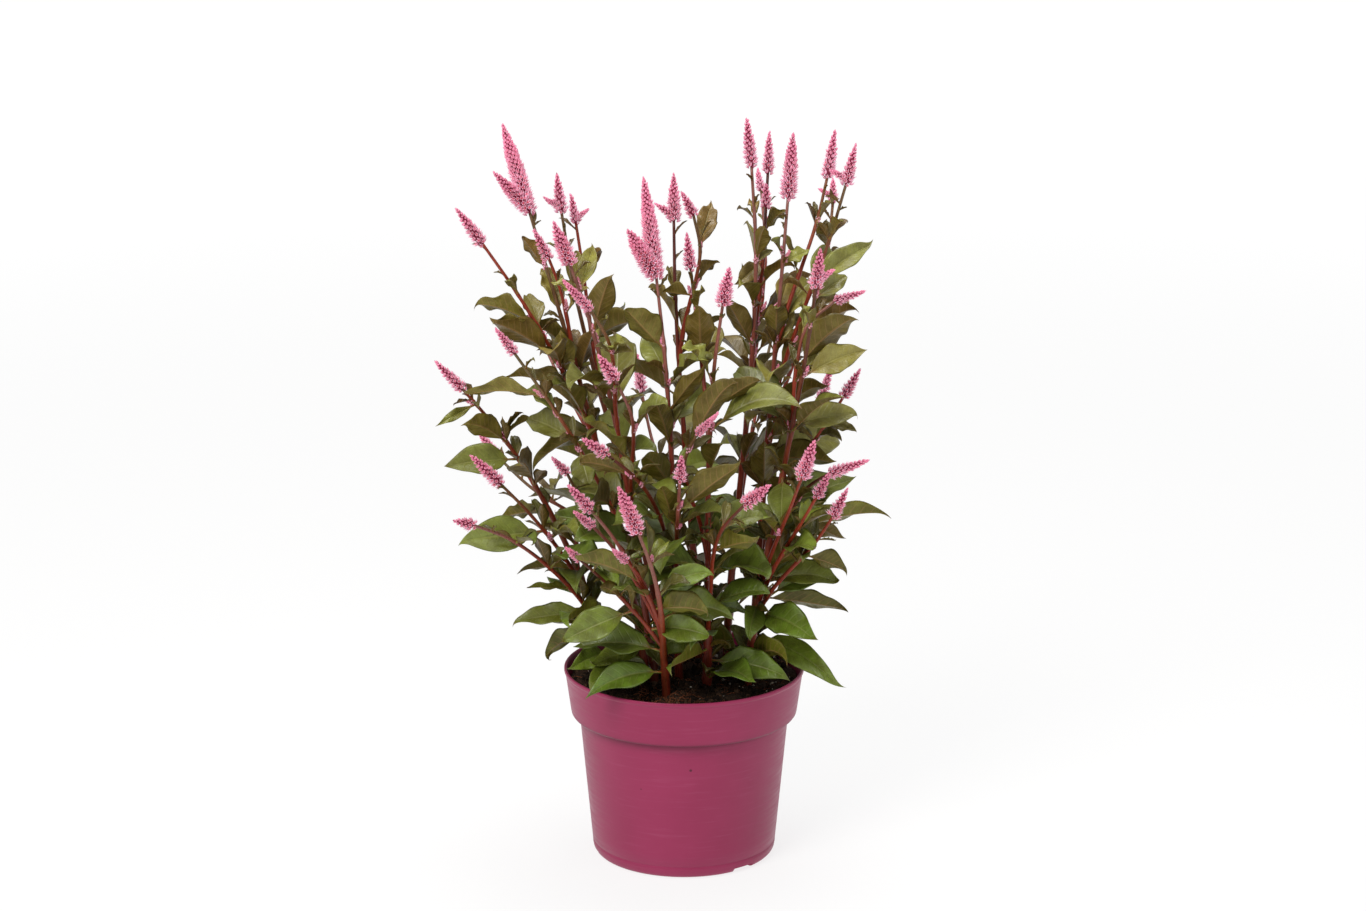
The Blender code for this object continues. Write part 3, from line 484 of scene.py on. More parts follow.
class Space:
    """What is taken: solids as search trees, each with its box."""

    def __init__(self):
        self.trees, self.low, self.high, self.owners = [], [], [], []

    def add(self, solid, owner):
        verts, faces = solid
        self.trees.append(BVHTree.FromPolygons([Vector(v) for v in verts], faces))
        self.low.append(verts.min(0))
        self.high.append(verts.max(0))
        self.owners.append(owner)

    def free(self, solid, but=()):
        """Whether a solid crosses nothing here, apart from what the owners in `but` hold."""
        verts, faces = solid
        near = (vector(self.low) <= verts.max(0)).all(1) & (vector(self.high) >= verts.min(0)).all(1)
        tree = None
        for k in np.flatnonzero(near):
            if self.owners[k] in but:
                continue
            if tree is None:
                tree = BVHTree.FromPolygons([Vector(v) for v in verts], faces)
            if tree.overlap(self.trees[k]):
                return False
        return True


def clear_of_pot(leaf):
    """Whether a leaf stays above the soil and off the pot's rim and wall."""
    t = np.linspace(0.15, 1, 15)
    points, sides, _ = leaf_frames(leaf, t)
    half = (blade_share(t) * leaf["width"] / 2)[:, None]
    for edge in (points, points - half * sides, points + half * sides):
        radius = np.hypot(edge[:, 0], edge[:, 1])
        over_soil = (radius < RIM_RADIUS + 3 * MM) & (edge[:, 2] < POT_HEIGHT + 3 * MM)
        deep_inside = (radius < RIM_RADIUS - 12 * MM) & (edge[:, 2] > SOIL_TOP + SOIL_MOUND + 5 * MM)
        if (over_soil & ~deep_inside).any() or (edge[:, 2] < 20 * MM).any():
            return False
    return True


def settle(stem, space, leaf, windows):
    """Adds the leaf if its space is free, and says whether it was."""
    whole, blade = leaf_solid(leaf, 0, LEAF_CLEARANCE), leaf_solid(leaf, 0.2, LEAF_CLEARANCE)
    own = "stem " + stem["name"]
    if not clear_of_pot(leaf) or not space.free(whole, but=(own,)) or not space.free(blade):
        return False
    if windows is not None and not windows.free(blade):
        return False
    stem["leaves"].append(leaf)
    space.add(leaf_solid(leaf), "leaf")
    return True


def chosen_leaves(stems, space):
    """The leaves of the plan, each turned a little where its place is taken."""
    rows = [(name, *row) for name, group in CHOSEN_LEAVES for row in group]
    for k, (name, number, height, x, y, z, width) in enumerate(rows):
        stem = stems[name]
        target = vector((x, y, z)) * MM
        root = at_height(stem["paths"][number]["points"], height * MM)[0]
        for back, up, more in LEAF_TRIES:
            tip = target + vector((0, back, up)) * MM
            twist = 0.3 * math.sin(2.1 * k)
            bow, fold = 0.05 + 0.05 * math.cos(1.7 * k) + more, math.radians(20)
            leaf = new_leaf(root, tip, CHOSEN_WIDTH * width * MM, bow, twist, fold)
            if settle(stem, space, leaf, None):
                break


def crown_radius(height):
    """How far from the pot's axis the leaves of the spiral reach, less just over the rim."""
    share = np.clip((height - POT_HEIGHT) / (120 * MM), 0, 1)
    return CROWN_LOW_RADIUS + share * (CROWN_RADIUS - CROWN_LOW_RADIUS)


def rule_leaves(stem, space, windows, rng):
    """Leaves in a spiral up each path, longest low down, turned on until their place is free."""
    golden = math.radians(137.5)
    for path in stem["paths"]:
        points = path["points"]
        gaps = np.linalg.norm(np.diff(points, axis=0), axis=1)
        along = np.concatenate([[0], np.cumsum(gaps)])
        place = (36 if path["main"] else 22) * MM
        turn = rng.uniform(0, math.tau)
        while place < along[-1] - BARE_STALK:
            root = np.array([np.interp(place, along, points[:, k]) for k in range(3)])
            high = np.clip((root[2] - 0.25) / 0.25, 0, 1)
            size = (LEAF_LENGTH_LOW + high * (LEAF_LENGTH_HIGH - LEAF_LENGTH_LOW)) * MM
            near_top = np.clip((along[-1] - place) / (110 * MM), 0.5, 1)
            length = size * near_top * rng.uniform(0.82, 1.2)
            rise = 14 + 38 * high + rng.uniform(-16, 16)
            arch, twist, fold = rng.uniform(0.1, 0.24), rng.uniform(-0.6, 0.6), rng.uniform(14, 30)
            slim, roll = rng.uniform(0.41, 0.51), math.radians(rng.uniform(5, 55))
            outward = unit(vector((*root[:2], 0)))
            for extra, shrink in TURN_TRIES:
                angle = turn + math.radians(extra)
                around = vector((math.cos(angle), math.sin(angle), 0))
                flat = unit(around + 0.7 * outward)
                climb = math.radians(rise - 0.08 * abs(extra))
                tip = root + shrink * length * (math.cos(climb) * flat + math.sin(climb) * UP)
                if math.hypot(*tip[:2]) > crown_radius(tip[2]):
                    continue
                leaf = new_leaf(root, tip, slim * shrink * length, arch, twist, math.radians(fold), roll)
                if settle(stem, space, leaf, windows):
                    break
            turn += golden
            place += LEAF_STEP * MM * rng.uniform(0.8, 1.25)


def grow_plant():
    """All stems with their branches, spikes and leaves."""
    stems = {name: grow_stem(name) for name in STEM_FEET}
    space, windows = Space(), Space()
    for name, stem in stems.items():
        for path in stem["paths"]:
            space.add(tube_solid(path["points"], path["radii"]), "stem " + name)
        for spike in stem["spikes"]:
            for one in [spike, *spike.get("sides", [])]:
                space.add(spike_space(one), "spike")
                if one["foot"][1] < SEEN_BEFORE or one["foot"][2] > SEEN_ABOVE:
                    windows.add(front_window(one), "window")
    chosen_leaves(stems, space)
    rng = np.random.default_rng(7)
    for stem in stems.values():
        rule_leaves(stem, space, windows, rng)
    return stems, space


def spike_profile(spike, u):
    """Radius of the floret tips along a spike: full near the foot, drawn to a point."""
    plump = 1.3 + 0.035 * max(spike["length"] / MM - 25, 0)
    return spike["radius"] * np.minimum(1, 0.72 + 2.5 * u) * (1 - u**plump) ** 0.85


# Fine shapes: leaves

LEAF_COLUMNS = vector((-1, -0.84, -0.56, -0.28, -0.07, 0, 0.07, 0.28, 0.56, 0.84, 1))
SMALL_LEAF_COLUMNS = vector((-1, -0.6, 0, 0.6, 1))
BLADE_WIDEST = 0.38
TIP_FROM = 0.8
VEIN_SLANT = 0.26
BLADE_HALF_THICKNESS = 0.2 * MM
MIDRIB_GROOVE = 0.6 * MM
MIDRIB_RIDGE = 0.75 * MM
PETIOLE_STATIONS = (0.0, 0.05, 0.1)

# Fine shapes: stalks
STALK_SIDES = 10
STALK_STEP = 5 * MM
STALK_RIBS = 0.07
STALK_SLIM = 0.93
JOINT_SWELL = 0.28
JOINT_REACH = 3 * MM

# Fine shapes: florets
TEPALS = 5
PITCH_LOW = 4.2 * MM
PITCH_HIGH = 2.2 * MM
GOLDEN = math.radians(137.508)
FOOT_SHARE = 0.42
FLORET_SHORTEST = 3.0 * MM
FLORET_LONGEST = 5.6 * MM

# Fine shapes: pot and soil
POT_AROUND = 144
SOIL_AROUND = 150
SOIL_FINE_RINGS = 46
SOIL_REACH = RIM_RADIUS - WALL - 3.6 * MM
CRUMBS = 1500
GRAINS = 90
FRONT_GRAINS = 26
FIBRES = 260

# Studio
CAMERA_PLACE = (-0.0008, -2.431, 0.9595)
CAMERA_TILT = math.radians(75.34)
FLOOR_REACH = 20
LIGHT_AIM = (0, 0, 0.3)
# name, place, size across, power, colour
LIGHTS = (
    ("key", (-0.9, -1.5, 1.9), 1.1, 37, (1, 0.98, 0.95)),
    ("fill", (1.5, -1.3, 1.0), 1.4, 4, (1, 1, 1)),
    ("top", (0.1, 0.3, 2.2), 1.2, 24, (1, 1, 1)),
)


def srgb(red, green, blue):
    """A colour of 0 to 255 as linear light."""
    c = vector((red, green, blue)) / 255
    return np.where(c <= 0.04045, c / 12.92, ((c + 0.055) / 1.055) ** 2.4)


LEAF_LOW = srgb(114, 144, 42)
LEAF_HIGH = srgb(146, 150, 68)
LEAF_RIPE = srgb(144, 112, 56)
LEAF_BROWN = srgb(110, 64, 38)
# underside colour: partly the leaf's own, partly painted shade of the side that faces down
LEAF_UNDER = srgb(100, 70, 24)
VEIN_UPPER = srgb(176, 172, 112)
VEIN_UNDER = srgb(160, 122, 80)
STALK_RED = srgb(150, 50, 26)
STALK_DARK = srgb(80, 38, 30)
STALK_OLIVE = srgb(104, 94, 58)
STALK_ROSE = srgb(150, 104, 96)
PETAL_PALE = srgb(255, 220, 232)
PETAL_PINK = srgb(246, 146, 184)
PETAL_DEEP = srgb(148, 24, 66)
PETAL_DUSK = srgb(236, 118, 154)
STAMEN = srgb(228, 92, 88)
BUD_GREEN = srgb(150, 120, 92)
SOIL_DARK = srgb(46, 34, 27)
SOIL_PALE = srgb(96, 72, 54)
FIBRE = srgb(142, 88, 60)
PERLITE = srgb(232, 228, 216)
POT_MAGENTA = srgb(152, 42, 84)
POT_DEEP = srgb(145, 37, 78)
POT_SCUFF = srgb(178, 92, 124)
POT_SPECK = srgb(80, 20, 42)
# share by which a painted shadow darkens the pot in the corner under its rim band
BAND_PAINTED_SHADOW = 0.6
# strength of the painted glow: the tepals give off light in their own colour
PETAL_PAINTED_GLOW = 0.14


def ease(value, low, high):
    """Rises smoothly from 0 at low to 1 at high."""
    x = np.clip((value - low) / (high - low), 0, 1)
    return x * x * (3 - 2 * x)


def mixed(a, b, share):
    """a where share is 0, b where it is 1, for colours or points in the last axis."""
    share = np.asarray(share, float)[..., None]
    return a * (1 - share) + b * share


class Surface:
    """Collects the corners, faces, colours and pattern places of one piece."""

    def __init__(self):
        self.verts, self.tones, self.places = [], [], []
        self.corners, self.sizes, self.finishes = [], [], []
        self.count = 0

    def add(self, verts, tones, faces, finishes, places=None):
        """Adds corners with a colour each, and arrays of faces with one finish number or one per face."""
        self.verts.append(verts)
        self.tones.append(np.broadcast_to(tones, (len(verts), 3)))
        self.places.append(np.zeros((len(verts), 2)) if places is None else places)
        for group, finish in zip(faces, finishes):
            self.corners.append(group.ravel() + self.count)
            self.sizes.append(np.full(len(group), group.shape[1]))
            self.finishes.append(np.broadcast_to(finish, len(group)))
        self.count += len(verts)

    def make(self, name, materials, smooth=True):
        """The piece as an object at the origin, with its colours as tone and its places as a UV map."""
        verts, corners = np.concatenate(self.verts), np.concatenate(self.corners)
        sizes = np.concatenate(self.sizes)
        mesh = bpy.data.meshes.new(name)
        mesh.vertices.add(len(verts))
        mesh.vertices.foreach_set("co", verts.astype(np.float32).ravel())
        mesh.loops.add(len(corners))
        mesh.loops.foreach_set("vertex_index", corners.astype(np.int32))
        mesh.polygons.add(len(sizes))
        mesh.polygons.foreach_set("loop_start", (np.cumsum(sizes) - sizes).astype(np.int32))
        for made in materials:
            mesh.materials.append(made)
        mesh.polygons.foreach_set("material_index", np.concatenate(self.finishes).astype(np.int32))
        mesh.polygons.foreach_set("use_smooth", np.full(len(sizes), smooth))
        places = mesh.uv_layers.new(name="place")
        places.uv.foreach_set("vector", np.concatenate(self.places)[corners].astype(np.float32).ravel())
        tones = mesh.attributes.new("tone", "FLOAT_COLOR", "POINT")
        shown = np.ones((len(verts), 4), np.float32)
        shown[:, :3] = np.concatenate(self.tones)
        tones.data.foreach_set("color", shown.ravel())
        mesh.update(calc_edges=True)
        mesh.validate()
        obj = bpy.data.objects.new(name, mesh)
        bpy.context.scene.collection.objects.link(obj)
        return obj


def ring_faces(rings, around):
    """Four-cornered faces between successive rings of corners."""
    k, j = np.meshgrid(np.arange(rings - 1), np.arange(around), indexing="ij")
    a, b = k * around + j, k * around + (j + 1) % around
    return np.stack([a, b, b + around, a + around], -1).reshape(-1, 4)


def end_faces(rings, around, first, last):
    """Fans that close the first ring to the corner `first` and the last ring to the corner `last`."""
    j = np.arange(around)
    n = (j + 1) % around
    top = (rings - 1) * around
    low = np.stack([n, j, np.full(around, first)], -1)
    high = np.stack([top + j, top + n, np.full(around, last)], -1)
    return np.vstack([low, high])


def smooth_path(points, step):
    """Points at even steps on the cubic through the given points, with slopes from their neighbours."""
    gaps = np.linalg.norm(np.diff(points, axis=0), axis=1)
    along = np.concatenate([[0], np.cumsum(gaps)])
    slopes = np.gradient(points, along, axis=0)
    places = np.linspace(0, along[-1], max(6, round(along[-1] / step)))
    k = np.clip(np.searchsorted(along, places) - 1, 0, len(points) - 2)
    h = gaps[k][:, None]
    u = ((places - along[k]) / gaps[k])[:, None]
    curve = (
        (2 * u**3 - 3 * u**2 + 1) * points[k]
        + (u**3 - 2 * u**2 + u) * h * slopes[k]
        + (3 * u**2 - 2 * u**3) * points[k + 1]
        + (u**3 - u**2) * h * slopes[k + 1]
    )
    return curve, places / along[-1]


def fine_share(u):
    """Half width of the blade as a share of the largest, tapering to the petiole and to a drawn out tip."""
    u = np.clip(u, 0, 1)
    return (u / BLADE_WIDEST) ** 0.92 * ((1 - u) / (1 - BLADE_WIDEST)) ** 1.5


def leaf_look(rng, root, small=False):
    """What makes one leaf differ from the next: waves, curl, puckers, how bronze and how brown it is, and its
    painted shade.

    Leaves turn bronze more inside the plant and at the back than on its front, partly as their own colour and
    partly as painted shade of the inside. Small leaves are painted darker and browner, as painted shade
    inside the foliage.
    """
    inside = (0.3 + 0.7 * ease(root[1], -0.06, 0.06)) * (0.5 + 0.5 * ease(root[2], 0.2, 0.45))
    return {
        "veins": 4 if small else 9,
        "columns": SMALL_LEAF_COLUMNS if small else LEAF_COLUMNS,
        "wave": rng.uniform(1.0, 4.0) * MM * (0.4 if small else 1),
        "waves": rng.uniform(1.2, 3.4),
        "phases": rng.uniform(0, math.tau, 2),
        "pucker": rng.uniform(0.5, 1.0) * MM * (0.3 if small else 1),
        "curl": rng.uniform(-1.0, 1.9) if rng.uniform() < 0.7 else rng.uniform(-2.6, 3.4),
        "sway": rng.uniform(-0.07, 0.07),
        # the brightness differs at random; small leaves are 40 % darker as painted shade inside the foliage
        "bright": rng.uniform(0.72, 1.25) * (0.6 if small else 1),
        # bronze share: partly the leaf's own colour, partly painted shade inside the plant, at its back and
        # on small leaves
        "bronze_and_shade": min(1, 1.2 * rng.uniform(0, 1) ** 1.5 * inside + (0.3 if small else 0)),
        "brown": rng.uniform(0, 1) ** 2,
    }


def leaf_surface(leaf, look, shift):
    """Rings of a leaf from the joint to just before its tip, its end points, and each corner's place on it.

    Across, a ring runs over the upper side from edge to edge and back along the underside. Along the
    blade, rings follow the side veins: they lean to the tip by VEIN_SLANT of what is left of the blade
    times the distance from the midrib to the power 1.2. The blade rises from the midrib by the sine of
    the fold and its edge waves as a sine along the leaf. Every second ring is a vein, and the one between
    them is puckered up on each half by a half sine to the power 1.4. Past TIP_FROM the blade runs on along
    an arc of the leaf's curl instead of straight. The first rings are the round petiole.
    """
    columns = look["columns"]
    inner = columns[1:-1]
    s = np.concatenate([columns, inner[::-1]])
    upper = np.concatenate([np.ones(len(columns)), -np.ones(len(inner))])
    edge = np.abs(s) > 0.99
    rows = 2 * look["veins"] + 1
    v = (np.arange(rows) / rows)[:, None]
    u = v + VEIN_SLANT * (1 - v) * np.abs(s) ** 1.2 * np.minimum(1, 6 * v)
    t = PETIOLE_SHARE + (1 - PETIOLE_SHARE) * u
    points, sides, faces = (a.reshape(rows, len(s), 3) for a in leaf_frames(leaf, t.ravel()))
    span = np.linalg.norm(leaf["tip"] - leaf["root"])
    share = fine_share(u)
    half = np.maximum(0.98 * share * leaf["width"] / 2, PETIOLE_RADIUS * (0.95 - 0.75 * u))
    sign = (s > 0).astype(int)
    rise = half * math.sin(1.25 * leaf["fold"]) * np.abs(s) ** 1.15 * ease(u, 0, 0.12)
    wave = look["wave"] * np.abs(s) ** 2 * np.sin(math.tau * look["waves"] * u + look["phases"][sign]) * share
    crest = (np.arange(rows) % 2)[:, None] * look["pucker"] * np.sin(math.pi * np.abs(s)) ** 1.4 * share
    past = np.clip((u - TIP_FROM) / (1 - TIP_FROM), 0, 1)
    reach, bend = span * (1 - PETIOLE_SHARE) * (1 - TIP_FROM), look["curl"]
    ahead = reach * (np.sin(bend * past) / bend - past)
    drop = reach * (1 - np.cos(bend * past)) / bend
    sway = look["sway"] * span * past**2
    groove = MIDRIB_GROOVE * (np.abs(s) < 0.01) * (upper > 0) * (1 - u)
    ridge = MIDRIB_RIDGE * np.clip(1 - np.abs(s) / 0.1, 0, 1) ** 0.5 * (upper < 0) * (1 - 0.8 * u)
    thick = BLADE_HALF_THICKNESS * upper * ~edge
    off = rise + wave + crest - groove - ridge + thick - drop
    blade = points + (half * s * math.cos(leaf["fold"]) + sway)[..., None] * sides
    blade = blade + off[..., None] * faces + ahead[..., None] * np.cross(faces, sides)

    turns = np.concatenate([
        math.pi * (1 - np.arange(len(columns)) / (len(columns) - 1)),
        -math.pi * np.arange(1, len(inner) + 1) / (len(inner) + 1),
    ])
    stations = vector(PETIOLE_STATIONS)
    feet, sideways, ups = leaf_frames(leaf, stations)
    size = (PETIOLE_RADIUS * (1.15 - 3 * stations))[:, None, None]
    round_way = np.cos(turns)[:, None] * sideways[:, None] + np.sin(turns)[:, None] * ups[:, None]
    petiole = feet[:, None] + size * round_way
    rings = np.concatenate([petiole, blade])
    t_all = np.concatenate([np.broadcast_to(stations[:, None], (len(stations), len(s))), t])
    fade = np.clip(1 - t_all / 0.5, 0, 1) ** 2
    rings = rings + fade[..., None] * shift
    across_tip, up_tip = sides[-1, 0], faces[-1, 0]
    end = leaf["tip"] + look["sway"] * span * across_tip - reach * (1 - math.cos(bend)) / bend * up_tip
    end = end + reach * (math.sin(bend) / bend - 1) * np.cross(up_tip, across_tip)
    u_all = np.concatenate([np.full((len(stations), len(s)), -0.05), u])
    rows_all = np.concatenate([np.full((len(stations), 1), 0.5), v * rows / 2])
    return rings, end, leaf["root"] + shift, u_all, np.broadcast_to(rows_all, u_all.shape), s


def add_leaf(surface, leaf, look, shift, finishes):
    """Adds one leaf: finishes are the numbers of the upper side, the underside and the petiole.

    Each four-cornered patch is halved along the same line above and below, so the thin blade stays whole.
    """
    rings, end, root, u, row, s = leaf_surface(leaf, look, shift)
    count, around = u.shape
    height = leaf["root"][2]
    green = mixed(LEAF_LOW, LEAF_HIGH, ease(height, 0.17, 0.4)) * look["bright"]
    green = mixed(green, LEAF_RIPE * look["bright"], look["bronze_and_shade"])
    tone = np.broadcast_to(green, (count, around, 3))
    margin = ease(np.abs(s), 0.93, 1) * ease(u, 0.3, 1)
    brown = look["brown"] * (ease(u, 0.84, 1.0) + 0.5 * margin)
    tone = mixed(tone, LEAF_BROWN, np.clip(brown, 0, 1))
    tone = mixed(tone, STALK_RED, 0.75 * (1 - ease(u, -0.02, 0.1)) * (1 - 0.8 * ease(np.abs(s), 0.1, 0.6)))
    tip_tone = mixed(green, LEAF_BROWN, look["brown"])
    tones = np.concatenate([tone.reshape(-1, 3), [tip_tone, STALK_RED]])
    places = np.stack([np.broadcast_to(s, u.shape), row], -1).reshape(-1, 2)
    places = np.concatenate([places, [[0, row[-1, 0] + 0.5], [0, 0.5]]])
    verts = np.concatenate([rings.reshape(-1, 3), end[None], root[None]])
    quads = ring_faces(count, around)
    band = np.arange(len(quads))
    petiole = band // around < len(PETIOLE_STATIONS) - 1
    under = band % around >= len(look["columns"]) - 1
    halves = np.where(under[:, None], quads[:, [0, 1, 3, 1, 2, 3]], quads[:, [0, 1, 2, 0, 2, 3]])
    finish = np.repeat(np.where(petiole, finishes[2], np.where(under, finishes[1], finishes[0])), 2)
    fans = end_faces(count, around, count * around + 1, count * around)
    tip_under = np.arange(around) >= len(look["columns"]) - 1
    fan_finish = np.concatenate([np.full(around, finishes[2]), np.where(tip_under, finishes[1], finishes[0])])
    surface.add(verts, tones, (halves.reshape(-1, 3), fans), (finish, fan_finish), places)


# Fine shapes: stalks


def stalk_rings(curve, radii, ribs, spin):
    """Rings of a ribbed stalk: the radius swings by `ribs` of itself with the cosine of 5 times the turn."""
    ways = np.gradient(curve, axis=0)
    ways /= np.linalg.norm(ways, axis=1)[:, None]
    a = np.cross(ways, vector((0.3, 0.9, 0.1)))
    a /= np.linalg.norm(a, axis=1)[:, None]
    b = np.cross(ways, a)
    turns = np.arange(STALK_SIDES) * math.tau / STALK_SIDES
    reach = radii[:, None] * (1 + ribs * np.cos(STALK_SIDES / 2 * turns + spin))
    round_way = np.cos(turns)[:, None] * a[:, None] + np.sin(turns)[:, None] * b[:, None]
    return curve[:, None] + reach[..., None] * round_way


def add_tube(surface, rings, curve, tones, finish):
    """Adds rings round a curve, closed by a fan at each end. The tones are one colour or one a corner."""
    count, around = rings.shape[:2]
    if tones.ndim > 1:
        tones = np.concatenate([tones.reshape(-1, 3), tones[0, :1], tones[-1, :1]])
    verts = np.concatenate([rings.reshape(-1, 3), curve[:1], curve[-1:]])
    fans = end_faces(count, around, count * around, count * around + 1)
    surface.add(verts, tones, (ring_faces(count, around), fans), (finish, finish))


def stalk_tones(curve, share, is_main, rng):
    """Red below, and towards the spike one of dark, olive or rose, with a paler streak on some ribs, and
    darker low down near the soil as painted shade under the foliage.
    """
    upper = (STALK_DARK, STALK_OLIVE, STALK_ROSE, STALK_RED)[rng.integers(4)]
    change = ease(share, 0.45, 0.95) * rng.uniform(0.5, 1.0)
    tone = mixed(STALK_RED, upper, change)
    streak = rng.uniform(0, 0.5, STALK_SIDES) * ease(rng.uniform(0, 1, STALK_SIDES), 0.35, 0.7)
    shown = mixed(tone[:, None], STALK_OLIVE, streak * (0.7 if is_main else 0.4))
    # painted shade: the stalk is darker low down near the soil, under the foliage
    painted_low_shade = 0.55 + 0.45 * ease(curve[:, 2], 0.14, 0.22)
    return shown * painted_low_shade[:, None, None] * rng.uniform(0.85, 1.15)


# Fine shapes: flower spikes


def floret_corners(opened, length):
    """Corners of florets, each along +Z from its foot: five pointed tepals and a bead in the middle.

    A tepal is a narrow lens: foot, then keel, right edge, inner side and left edge at half its length,
    then its tip. From a closed bud to an open floret, the tips and edges move out from the axis.
    """
    opened = opened[:, None]
    middle = 0.24 - 0.04 * opened
    width = 0.17 - 0.06 * opened
    lift = 0.48 - 0.04 * opened
    tip_out = 0.05 + 0.34 * opened
    tip_up = 1.0 - 0.06 * opened
    zero = np.zeros_like(opened)
    out = np.stack([zero, middle + 0.07, middle, middle - 0.07, middle, tip_out], -1)
    side = np.stack([zero, zero, width, zero, -width, zero], -1)
    up = np.stack([zero, lift - 0.03, lift + 0.04, lift + 0.04, lift + 0.04, tip_up], -1)
    turns = (np.arange(TEPALS) * math.tau / TEPALS)[None, :, None]
    tepals = np.stack([
        out * np.cos(turns) - side * np.sin(turns),
        out * np.sin(turns) + side * np.cos(turns),
        np.broadcast_to(up, (len(opened), TEPALS, 6)),
    ], -1).reshape(len(opened), TEPALS * 6, 3)
    bead_turns = np.arange(4) * math.tau / 4
    ring = np.stack([0.09 * np.cos(bead_turns), 0.09 * np.sin(bead_turns), np.full(4, 0.5)], -1)
    bead = np.vstack([[(0, 0, 0.3)], ring, [(0, 0, 0.66)]])
    corners = np.concatenate([tepals, np.broadcast_to(bead, (len(opened), 6, 3))], 1)
    return corners * length[:, None, None]


def floret_faces():
    """Triangles of one floret: each lens is a fan from its foot and a fan to its tip."""
    ring = np.arange(4) + 1
    after = np.roll(ring, -1)
    low, high = np.stack([after, ring, np.zeros(4, int)], -1), np.stack([ring, after, np.full(4, 5)], -1)
    lens = np.vstack([low, high])
    return np.concatenate([lens + 6 * k for k in range(TEPALS + 1)])


def spike_plan(spike):
    """Heights of the florets, as shares of the spike, so that each covers the square of its pitch."""
    u = np.linspace(0, 1, 200)
    radius = 0.72 * spike_profile(spike, u) + 0.5 * MM
    pitch = PITCH_LOW + (PITCH_HIGH - PITCH_LOW) * u
    pitch = pitch * np.clip(spike["radius"] / (5.2 * MM), 0.7, 1.15)
    density = math.tau * radius * spike["length"] / (0.88 * pitch**2)
    count = np.concatenate([[0], np.cumsum((density[1:] + density[:-1]) / 2 * np.diff(u))])
    total = int(count[-1])
    return np.interp(np.arange(total) + 0.5, count, u)


def floret_stance(envelope):
    """Length of the florets, their climb and how far out their feet are, so that tips reach the envelope.

    The feet sit at FOOT_SHARE of the envelope, which gives the climb by its cosine, held between limits.
    """
    length = np.clip(0.6 * envelope + 1.5 * MM, FLORET_SHORTEST, FLORET_LONGEST)
    flat = np.clip((1 - FOOT_SHARE) * envelope / length, 0.15, 0.9)
    return length, np.arccos(flat), np.maximum(envelope - length * flat, 0.15 * envelope)


def floret_tones(youth, green, rng):
    """Colours of the corners of each floret: deep at the foot and in the folds, pale at the open tips."""
    count = len(youth)
    light = rng.uniform(0.9, 1.2, (count, 1, 1))
    tip = mixed(PETAL_PALE, PETAL_PINK, 0.7 * youth)
    middle = mixed(PETAL_PINK, PETAL_DUSK, youth)
    deep = np.broadcast_to(PETAL_DEEP, (count, 3))
    edge = 0.5 * (middle + tip)
    tepal = np.stack([deep, 0.35 * deep + 0.65 * middle, edge, 0.5 * deep + 0.5 * middle, edge, tip], 1)
    bead = np.broadcast_to(STAMEN, (count, 6, 3))
    tones = np.concatenate([np.tile(tepal, (1, TEPALS, 1)), bead], 1) * light
    return np.minimum(mixed(tones, BUD_GREEN, np.full(tones.shape[:2], green)), 0.96).reshape(-1, 3)


def add_core(surface, spike):
    """The core that the florets stand on, deep pink darkened as painted shade between them: as thick as their
    feet reach, drawn in to the tip.
    """
    low = -0.6 * MM
    stations = np.linspace(0, 1, 11)
    heights = low + stations * (0.985 * spike["length"] - low)
    envelope = spike_profile(spike, np.clip(heights / spike["length"], 0, 1))
    core = (floret_stance(envelope)[2] + 0.35 * MM) * (1 - 0.96 * stations**6)
    core[0] = STALK_TIP_RADIUS * 0.9
    curve = spike["foot"] + heights[:, None] * spike["way"]
    # the core's deep pink times 0.6: its own colour, darkened further as painted shade between the florets
    add_tube(surface, stalk_rings(curve, core, 0, 0), curve, PETAL_DEEP * 0.6, 0)


def add_spike(surface, spike, rng, green=0.0):
    """Florets in a spiral of the golden angle up the spike, standing out below and upright near its tip."""
    way = spike["way"]
    a = across(vector((0.2, 1, 0)), way)
    b = np.cross(way, a)
    u = spike_plan(spike)
    count = len(u)
    turn = GOLDEN * np.arange(count) + rng.uniform(0, math.tau)
    radial = np.cos(turn)[:, None] * a + np.sin(turn)[:, None] * b
    length, climb, foot_out = floret_stance(spike_profile(spike, u))
    length = length * rng.uniform(0.9, 1.12, count)
    climb = climb + np.radians(rng.uniform(-10, 10, count))
    foot_up = u * spike["length"] - 0.8 * length * np.sin(climb)
    axis = np.cos(climb)[:, None] * radial + np.sin(climb)[:, None] * way
    x = np.cross(axis, np.cross(radial, way))
    x /= np.linalg.norm(x, axis=1)[:, None]
    y = np.cross(axis, x)
    spin = rng.uniform(0, math.tau, count)[:, None]
    x, y = np.cos(spin) * x + np.sin(spin) * y, np.cos(spin) * y - np.sin(spin) * x
    youth = ease(u, 0.25, 0.75)
    opened = np.clip((1 - youth) * rng.uniform(0.55, 1.0, count) + 0.1, 0.1, 1) * spike.get("open", 1)
    local = floret_corners(opened, length)
    feet = spike["foot"] + foot_out[:, None] * radial + foot_up[:, None] * way
    verts = feet[:, None] + local @ np.stack([x, y, axis], 1)
    one = floret_faces()
    faces = (one[None] + (np.arange(count) * (TEPALS + 1) * 6)[:, None, None]).reshape(-1, 3)
    surface.add(verts.reshape(-1, 3), floret_tones(youth, green, rng), (faces,), (0,))
    add_core(surface, spike)


# Finishes


